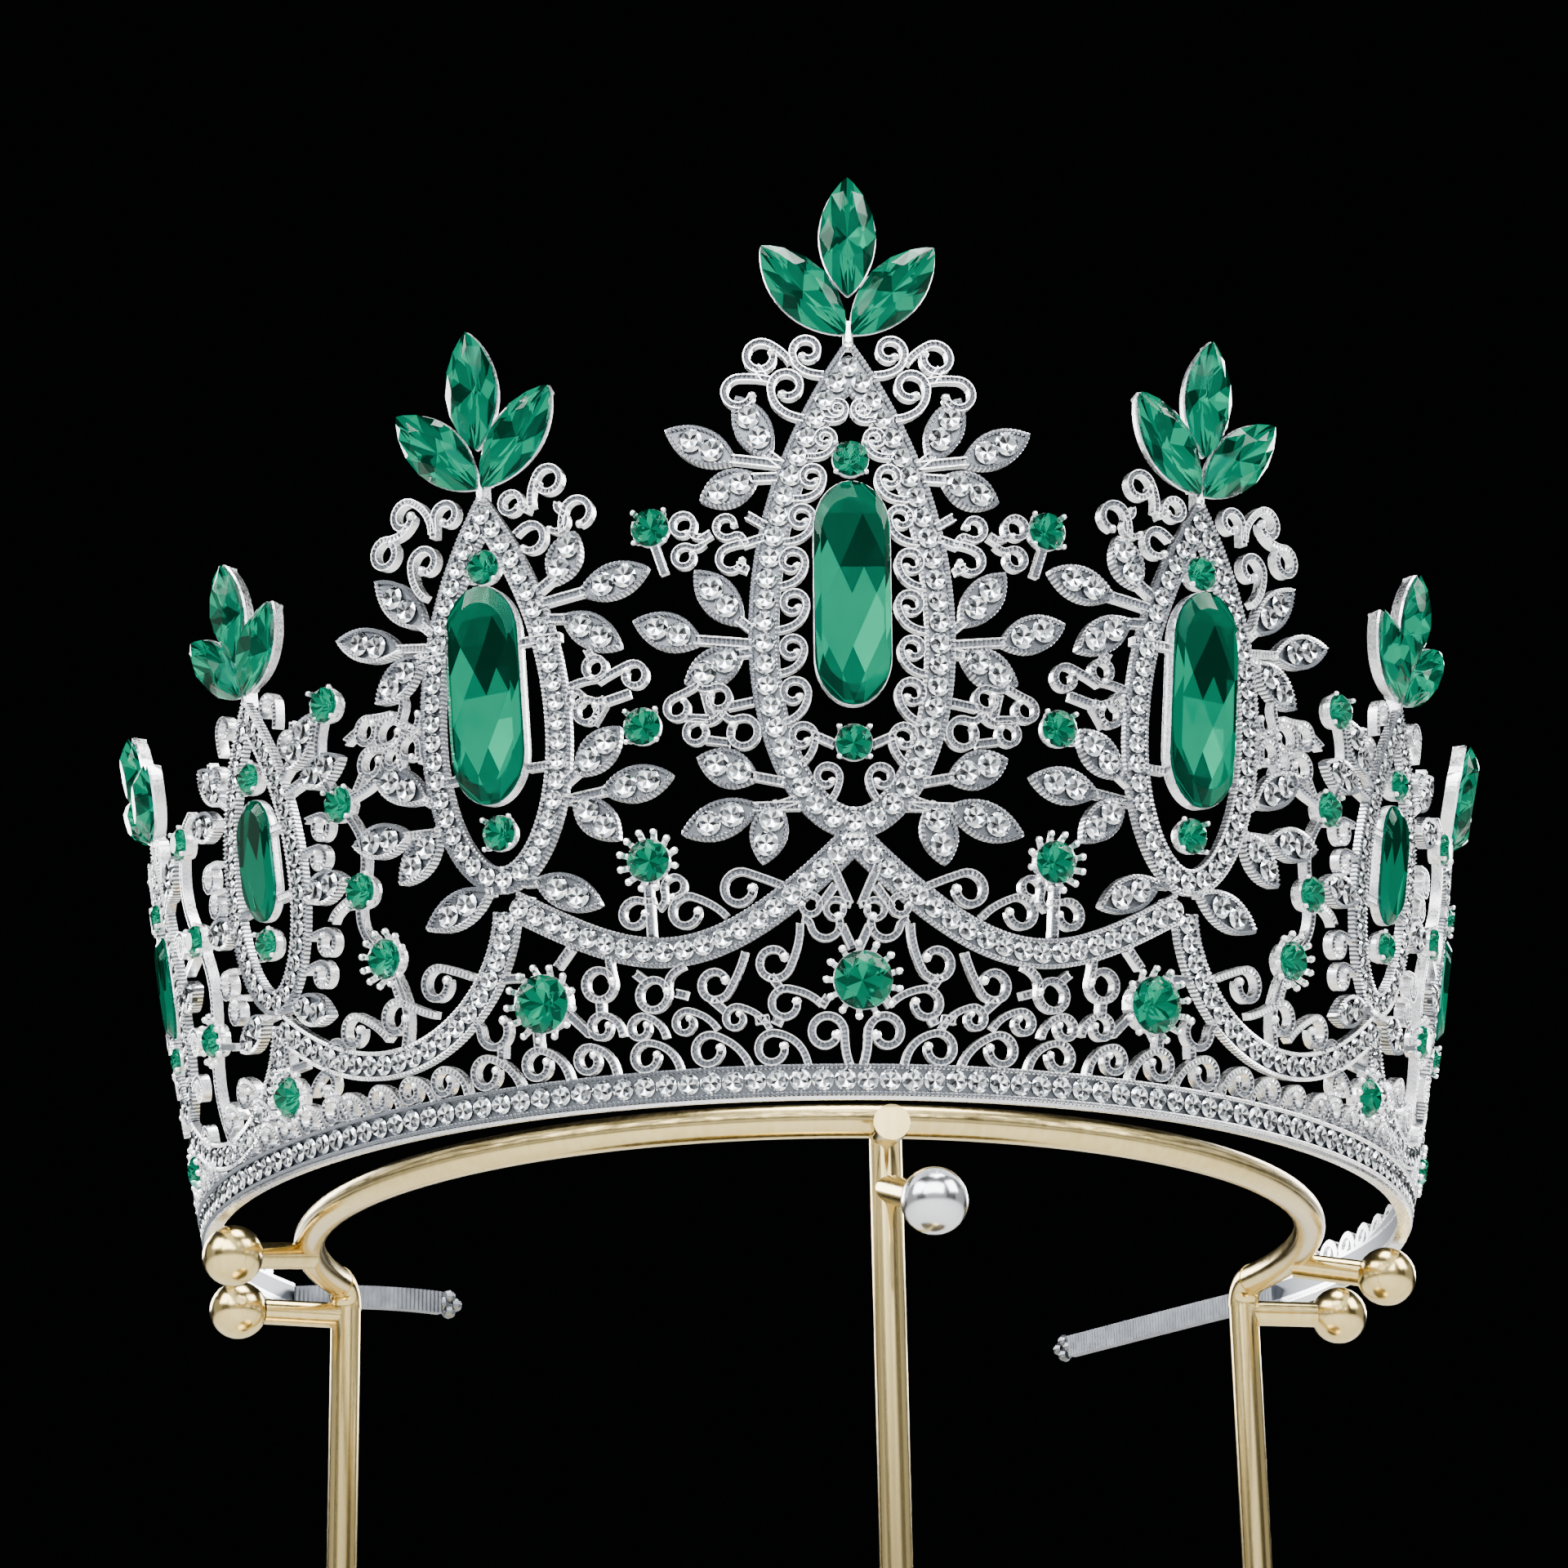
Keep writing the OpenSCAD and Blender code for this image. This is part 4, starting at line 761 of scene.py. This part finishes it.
settings = Shape()
for p in range(1, 8):
    z, length, width, stands = OVALS[kind(p)]
    stone = Shape()
    point, side, up, out = tilted(angle_of(p), z)
    outline = oval_outline(length, width)
    base, deep = point + stands * out, OVAL_DEPTH * width
    rows, columns = round(length / FACET_L), round(width / FACET_W)
    lattice_stone(stone, base, (side, up, out), outline, rows, columns, deep)
    stone.piece("oval_stone_%d" % p, green, "emerald_glass", ["oval_emerald_%d" % p])
    cup(settings, base, (side, up, out), outline, 96,
        [(0.04, -deep - 0.2), (0.04, -0.35), (0.08, -0.35), (0.1, -0.5), (0.1, -1.2), (0.0, -deep - 0.3)])

# Round stones
# Round cut stones sit in turned cups between the panels, inside them and above the band. Four claws hold a
# small one, and the larger ones above the band and the festoons have a ring of fine beads on stalks.
# columns: side, height and radius of a panel's upper and lower stone, then of the one above the band. Sides
# are given for the right half.
ROUNDS = [[(0, 74.4, 2.15), (0, 40.6, 2.15), (0.8, 13.4, 3.4)],
          [(0, 65.1, 2.1), (0, 33.2, 2.1), (-3.6, 12.9, 3.4)],
          [(0, 48.3, 2), (0, 27.6, 2), (0, 8.9, 2.5)],
          [(0, 41.3, 1.8), (0, 22.2, 1.8), (0, 7.6, 2.2)]]
# columns: angle, height, radius, how many claws or beads hold it
BETWEEN = [(15.2, 67, 2.25, 4), (16.4, 43.5, 2.2, 4), (16.4, 27.9, 2.5, 12),
           (45, 53.5, 2.2, 4), (44.3, 41, 2.2, 4), (42.8, 30, 2.2, 4), (41, 21.4, 2.4, 12),
           (69, 46, 2.1, 4), (68, 33, 2.1, 4), (67.5, 20, 2.2, 12)]
ROUND_FOILS = (1, 2, 4, 3, 1, 1, 4, 2, 3)  # foils of the lower facets in turn, painted light and shade: one of the star, two at the edge
ROUND_DEPTH = 0.72  # share of a stone's radius


def gem(shape, base, axes, outline, n, table, mid, rise, drop, foils):
    """A cut stone: table, stars, kites and edge facets above, foiled kites and edge facets below.
    outline(a) gives its edge at an angle, table and mid are shares of that, rise and drop are heights."""
    side, up, out = axes
    turn = np.arange(n) * 2 * math.pi / n
    between = turn + math.pi / n

    def ring(angles, scale, level):
        flat = np.array([outline(a) for a in angles]) * scale
        return base + flat[:, :1] * side + flat[:, 1:] * up + level * out
    rim = ring(np.sort(np.r_[turn, between]), 1.0, rise[0])
    kite = ring(between, mid, rise[1])
    top = ring(turn, table, rise[2])
    low = ring(between, 0.45, drop * 0.62)
    points = np.vstack([rim, kite, top, low, [base + drop * out]])
    k, t, b, c = 2 * n, 3 * n, 4 * n, 5 * n
    upper, lower = [], []
    for i in range(n):
        j, h = (i + 1) % n, (i - 1) % n
        upper += [(t + i, k + i, t + j), (t + i, k + h, 2 * i, k + i),
                  (k + i, 2 * i, 2 * i + 1), (k + i, 2 * i + 1, (2 * i + 2) % (2 * n))]
        lower += [(c, b + i, 2 * i, b + h), (b + i, 2 * i + 1, 2 * i),
                  (b + i, (2 * i + 2) % (2 * n), 2 * i + 1)]
    upper.append(tuple(t + i for i in range(n)))
    shape.add(points, upper + lower, [0] * len(upper) + [foils[i % len(foils)] for i in range(len(lower))])


def round_outline(r):
    return lambda a: (r * math.cos(a), r * math.sin(a))


def claws(shape, base, axes, r, count):
    """Claws round a stone: arms that end in a bead. Four are short and stout, and more make a wide ring."""
    side, up, out = axes
    reach, size, lift = (0.35, 0.34, 0.42) if count == 4 else (0.85, 0.46, 0.1)
    for i in range(count):
        a = 2 * math.pi * (i + 0.5) / count
        away = math.cos(a) * side + math.sin(a) * up
        wide = -math.sin(a) * side + math.cos(a) * up
        ends = [base + (r - 0.05) * away - 0.9 * out, base + (r + 0.75 * reach) * away - 0.15 * out,
                base + (r + reach) * away + lift * out]
        corners = [0.32 * i1 * wide + 0.3 * i2 * out for i1, i2 in ((-1, -1), (1, -1), (1, 1), (-1, 1))]
        skin(shape, np.array([[end + corner for corner in corners] for end in ends]), False)
        bead(shape, ends[2], side, up, out, size)


def round_stone(shape, angle, z, r, held):
    """A round stone in its cup, with the claws or beads that hold it."""
    point, side, up, out = tilted(angle, z)
    axes, base, outline = (side, up, out), point + 0.5 * out, round_outline(r)
    deep = ROUND_DEPTH * r
    gem(shape, base, axes, outline, 8, 0.56, 0.8, (0, 0.26 * r, 0.4 * r), -deep, ROUND_FOILS)
    cup(settings, base, axes, outline, 24,
        [(-0.5, -deep - 0.1), (-0.1, -0.2), (0.03, -0.18), (0.06, -0.5), (0.0, -1.2), (-0.2, -deep - 0.3)])
    claws(settings, base, axes, r, held)


small = Shape()
for s in (-1, 1):
    for angle, z, r, held in BETWEEN:
        round_stone(small, s * angle, z, r, held)
for p in range(1, 8):
    spots = [aside(angle_of(p), [(sign_of(p) * x, z)])[0] for x, z, _ in ROUNDS[kind(p)]]
    upper, lower, base_stone = [(angle, z, row[2]) for (angle, z), row in zip(spots, ROUNDS[kind(p)])]
    round_stone(small, *upper, 4)
    round_stone(small, *lower, 4)
    stone = Shape()
    round_stone(stone, *base_stone, 13)
    stone.piece("base_stone_%d" % p, green, "emerald_glass", ["base_emerald_%d" % p])
small.piece("round_stones", green, "emerald_glass", ["round_emeralds"])
settings.piece("stone_settings", [silver], "silver_plate")

# Finials
# Three pointed stones fan out on top of each panel, each glued into a thin cup that shows as a bright edge. A
# smooth post carries the three cups up from the frame's apex.
FINIAL_L, FINIAL_W = 14.6, 6.8  # a stone's length and width at scale 1, mm
FINIAL_LEAN = 5.0  # degrees that it leans out, past the wall
# Foils of the lower facets in turn, painted light and shade as on the round stones
FINIAL_FOILS = (4, 1, 2, 3, 4, 1, 1, 2, 4, 3)
# columns: name, degrees to the side, distance from the apex to the stone's lower point, mm
FINIAL = [("left", 43, 0.5), ("top", 0, 5), ("right", -43, 0.5)]


def pointed_outline(length, width):
    def outline(a):
        c, s = math.cos(a), math.sin(a)
        return width / 2 * math.copysign(abs(c) ** 1.7, c), length / 2 * s
    return outline


def rounded(width, depth, high):
    """Section of a plain strap with its top edges eased."""
    half = width / 2
    return lambda i: [(-half, -depth), (-half, high - 0.25), (-0.6 * half, high), (0.6 * half, high),
                      (half, high - 0.25), (half, -depth)]


finial_cups = Shape()
for p in range(1, 8):
    apex, size = PANELS[kind(p)][2], PANELS[kind(p)][5]
    point, side, up, out = tilted(angle_of(p), apex, FINIAL_LEAN)
    outline = pointed_outline(FINIAL_L * size, FINIAL_W * size)
    for name, turn, away in FINIAL:
        s, c = math.sin(math.radians(turn)), math.cos(math.radians(turn))
        axes = (side * c + up * s, up * c - side * s, out)
        base = point + axes[1] * (away + FINIAL_L / 2) * size + 0.45 * out
        stone = Shape()
        gem(stone, base, axes, outline, 8, 0.5, 0.78, (0, 1.0, 1.65), -1.9, FINIAL_FOILS)
        stone.piece("finial_stone_%d_%s" % (p, name), green, "emerald_glass",
                    ["finial_emerald_%d_%s" % (p, name)])
        cup(finial_cups, base, axes, outline, 40,
            [(-0.5, -2.0), (-0.1, -0.5), (0.0, -0.5), (0.05, -0.8), (-0.6, -2.3)])
    post = np.linspace([0, apex - 1.2], [0, apex + 2.0], 5)
    strip(finial_cups, aside(angle_of(p), post), rounded(1.1, 1.7, 0.2))
finial_cups.piece("finial_cups", [silver], "silver_plate")

# Band ends
# Behind the wall's ends the band runs on as a narrow bar of metal, painted darker as painted shade, notched
# across like a file.
# Each bar ends in a small loop made of four beads, where a comb or a ribbon is tied.
# columns: angle and radius of four control points in turn
TAILS = [[(-117.5, 77.2), (-119, 70), (-124, 64.5), (-129, 62.5)],
         [(117.5, 77.2), (127, 76), (139, 79), (148, 83.5)]]
TAIL_HALF = 0.8  # half the bar's thickness, mm
NOTCH, TAIL_STEP = 0.12, 0.3  # a notch's depth, and half the step to the next, mm
TAIL_LOW, TAIL_HIGH = 0.5, 3.5  # heights of the bar's edges above the crown's lower edge, mm
LOOP_BEAD, LOOP_R = 1.0, 1.05  # the beads' radius, and their distance from the loop's middle, mm
LOOP_AHEAD = 1.4  # mm from the bar's end to the loop's middle
LIGHT_SPOT = 2.0  # mm across a lighter spot

# Silver plate painted dark: painted shade, as the bars stand back where less light falls, with lighter spots
shaded_dark_plate, tree = material("dark_plate_painted_shade")
place = node(tree, "ShaderNodeTexCoord").outputs["Object"]
spot_noise = node(tree, "ShaderNodeTexNoise", [("Vector", place)], Scale=1000 / LIGHT_SPOT, Detail=4.0)
tone = node(tree, "ShaderNodeMix", [("Factor", spot_noise.outputs["Fac"])], data_type="RGBA")
tone.inputs[6].default_value = linear("#3A3D42")
tone.inputs[7].default_value = linear("#85898F")
shade = node(tree, "ShaderNodeBsdfPrincipled", [("Base Color", tone.outputs[2])], Metallic=1.0,
             Roughness=0.35)
node(tree, "ShaderNodeOutputMaterial", [("Surface", shade.outputs["BSDF"])])

tails = Shape()
for row in TAILS:
    angles, radii = np.radians([a for a, _ in row]), np.array([r for _, r in row])
    curve = bezier(np.column_stack([radii * np.sin(angles), -radii * np.cos(angles)]), 30)
    line = evenly(curve, curve, TAIL_STEP)
    along = np.gradient(line, axis=0)
    along /= np.linalg.norm(along, axis=1)[:, None]
    wide = np.column_stack([-along[:, 1], along[:, 0]])
    rings = []
    for i, (middle, across) in enumerate(zip(line, wide)):
        half = TAIL_HALF if i % 2 else TAIL_HALF - NOTCH
        rings.append([[*(middle + s * half * across), STAND_H + h]
                      for s, h in ((-1, TAIL_LOW), (-1, TAIL_HIGH), (1, TAIL_HIGH), (1, TAIL_LOW))])
    skin(tails, np.array(rings), False)
    end = np.array([*(line[-1] + LOOP_AHEAD * along[-1]), STAND_H + (TAIL_LOW + TAIL_HIGH) / 2])
    across, up, ahead = np.array([*wide[-1], 0]), np.array([0, 0, 1.0]), np.array([*along[-1], 0])
    for away in (-ahead, ahead, -up, up):
        bead(tails, end + LOOP_R * away, across, up, ahead, LOOP_BEAD, 12)
tails.piece("band_ends", [shaded_dark_plate], "silver_plate")

# Stand
# A display stand of thick wire: a ring open at the back whose ends bend down into two legs, a third leg at
# the front, and pegs with ball ends that carry the crown's edge. The wire is welded, and plated a pale gold.
DRAWN_W, DRAWN_L = 0.9, 70.0  # width and length of the faint streaks that drawing leaves along a wire, mm
BARE_BALL, BARE_R = (8.1, -82.6, 137.1), 3.95  # middle of the front ball, and how far bare steel reaches, mm
# Polished gold plate: a warm pale mirror, a little uneven along the streaks
gold, tree = material("pale_gold_plate")
place = node(tree, "ShaderNodeTexCoord").outputs["Object"]
streak = node(tree, "ShaderNodeMapping", [("Vector", place)])
streak.inputs["Scale"].default_value = (1000 / DRAWN_W, 1000 / DRAWN_W, 1000 / DRAWN_L)
drawn = node(tree, "ShaderNodeTexNoise", [("Vector", streak.outputs["Vector"])], Scale=1.0, Detail=3.0)
tone = node(tree, "ShaderNodeMix", [("Factor", drawn.outputs["Fac"])], data_type="RGBA")
tone.inputs[6].default_value = linear("#B59D5F")
tone.inputs[7].default_value = linear("#D8C58D")
rough = node(tree, "ShaderNodeMapRange", [("Value", drawn.outputs["Fac"])], To_Min=0.12, To_Max=0.26)
# The ball in front of the crown was left without gold and shows bare bright steel
away = node(tree, "ShaderNodeVectorMath", [("Vector", place)], operation="DISTANCE")
away.inputs[1].default_value = [v / 1000 for v in BARE_BALL]
near = node(tree, "ShaderNodeMath", [("Value", away.outputs["Value"])], operation="LESS_THAN")
near.inputs[1].default_value = BARE_R / 1000
coat = node(tree, "ShaderNodeMix", [("Factor", near.outputs["Value"])], data_type="RGBA")
coat.inputs[7].default_value = linear("#C9CBD0")
tree.links.new(tone.outputs[2], coat.inputs[6])
shade = node(tree, "ShaderNodeBsdfPrincipled",
             [("Base Color", coat.outputs[2]), ("Roughness", rough.outputs["Result"])], Metallic=1.0)
node(tree, "ShaderNodeOutputMaterial", [("Surface", shade.outputs["BSDF"])])
for name in ("stand_wire", "stand_base"):
    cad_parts[name].data.materials.clear()
    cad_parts[name].data.materials.append(gold)

# Floor and light
# A plain pale floor in a dark room, so that the polished metal and glass show both light and dark. Large soft
# lamps stand in front, to both sides, above and behind, and three wide dim ones fill the shadows.
ground, tree = material("pale_matt_floor")
shade = node(tree, "ShaderNodeBsdfPrincipled", Base_Color=linear("#C2C2BF"), Roughness=0.6)
node(tree, "ShaderNodeOutputMaterial", [("Surface", shade.outputs["BSDF"])])
bpy.ops.mesh.primitive_plane_add(size=6, location=(0, 0, -0.0005))
floor = bpy.context.object
floor.name = "floor"
floor.data.materials.append(ground)

world = bpy.data.worlds.new("dark_room")
bpy.context.scene.world = world
world.use_nodes = True
world.node_tree.nodes["Background"].inputs["Color"].default_value = linear("#101114")
world.node_tree.nodes["Background"].inputs["Strength"].default_value = 0.25

# columns: name, place in metres, width, height, watts; each lamp faces the middle of the crown
CROWN_MIDDLE = Vector((0, 0, 0.2))
LAMPS = [("front_lamp", (-0.15, -1.05, 0.8), 1.5, 0.75, 48),
         ("left_lamp", (-1.1, -0.55, 0.95), 0.8, 0.8, 32),
         ("right_lamp", (1.1, -0.55, 1.0), 0.8, 0.8, 32),
         ("top_lamp", (0.1, -0.1, 1.2), 0.5, 0.5, 16),
         ("back_lamp_left", (-0.7, 0.9, 0.6), 0.5, 0.5, 13),
         ("back_lamp_right", (0.7, 0.9, 0.6), 0.5, 0.5, 13),
         ("front_fill", (0, -1.8, 0.35), 2.4, 1.6, 7),
         ("left_fill", (-1.9, 0, 0.4), 1.6, 1.4, 4),
         ("right_fill", (1.9, 0, 0.4), 1.6, 1.4, 4)]
for name, place, width, height, watts in LAMPS:
    data = bpy.data.lights.new(name, "AREA")
    data.shape = "RECTANGLE"
    data.size, data.size_y = width, height
    data.energy = watts
    made = bpy.data.objects.new(name, data)
    made.location = place
    made.rotation_euler = (CROWN_MIDDLE - Vector(place)).to_track_quat("-Z", "Y").to_euler()
    made.visible_camera = False
    bpy.context.scene.collection.objects.link(made)
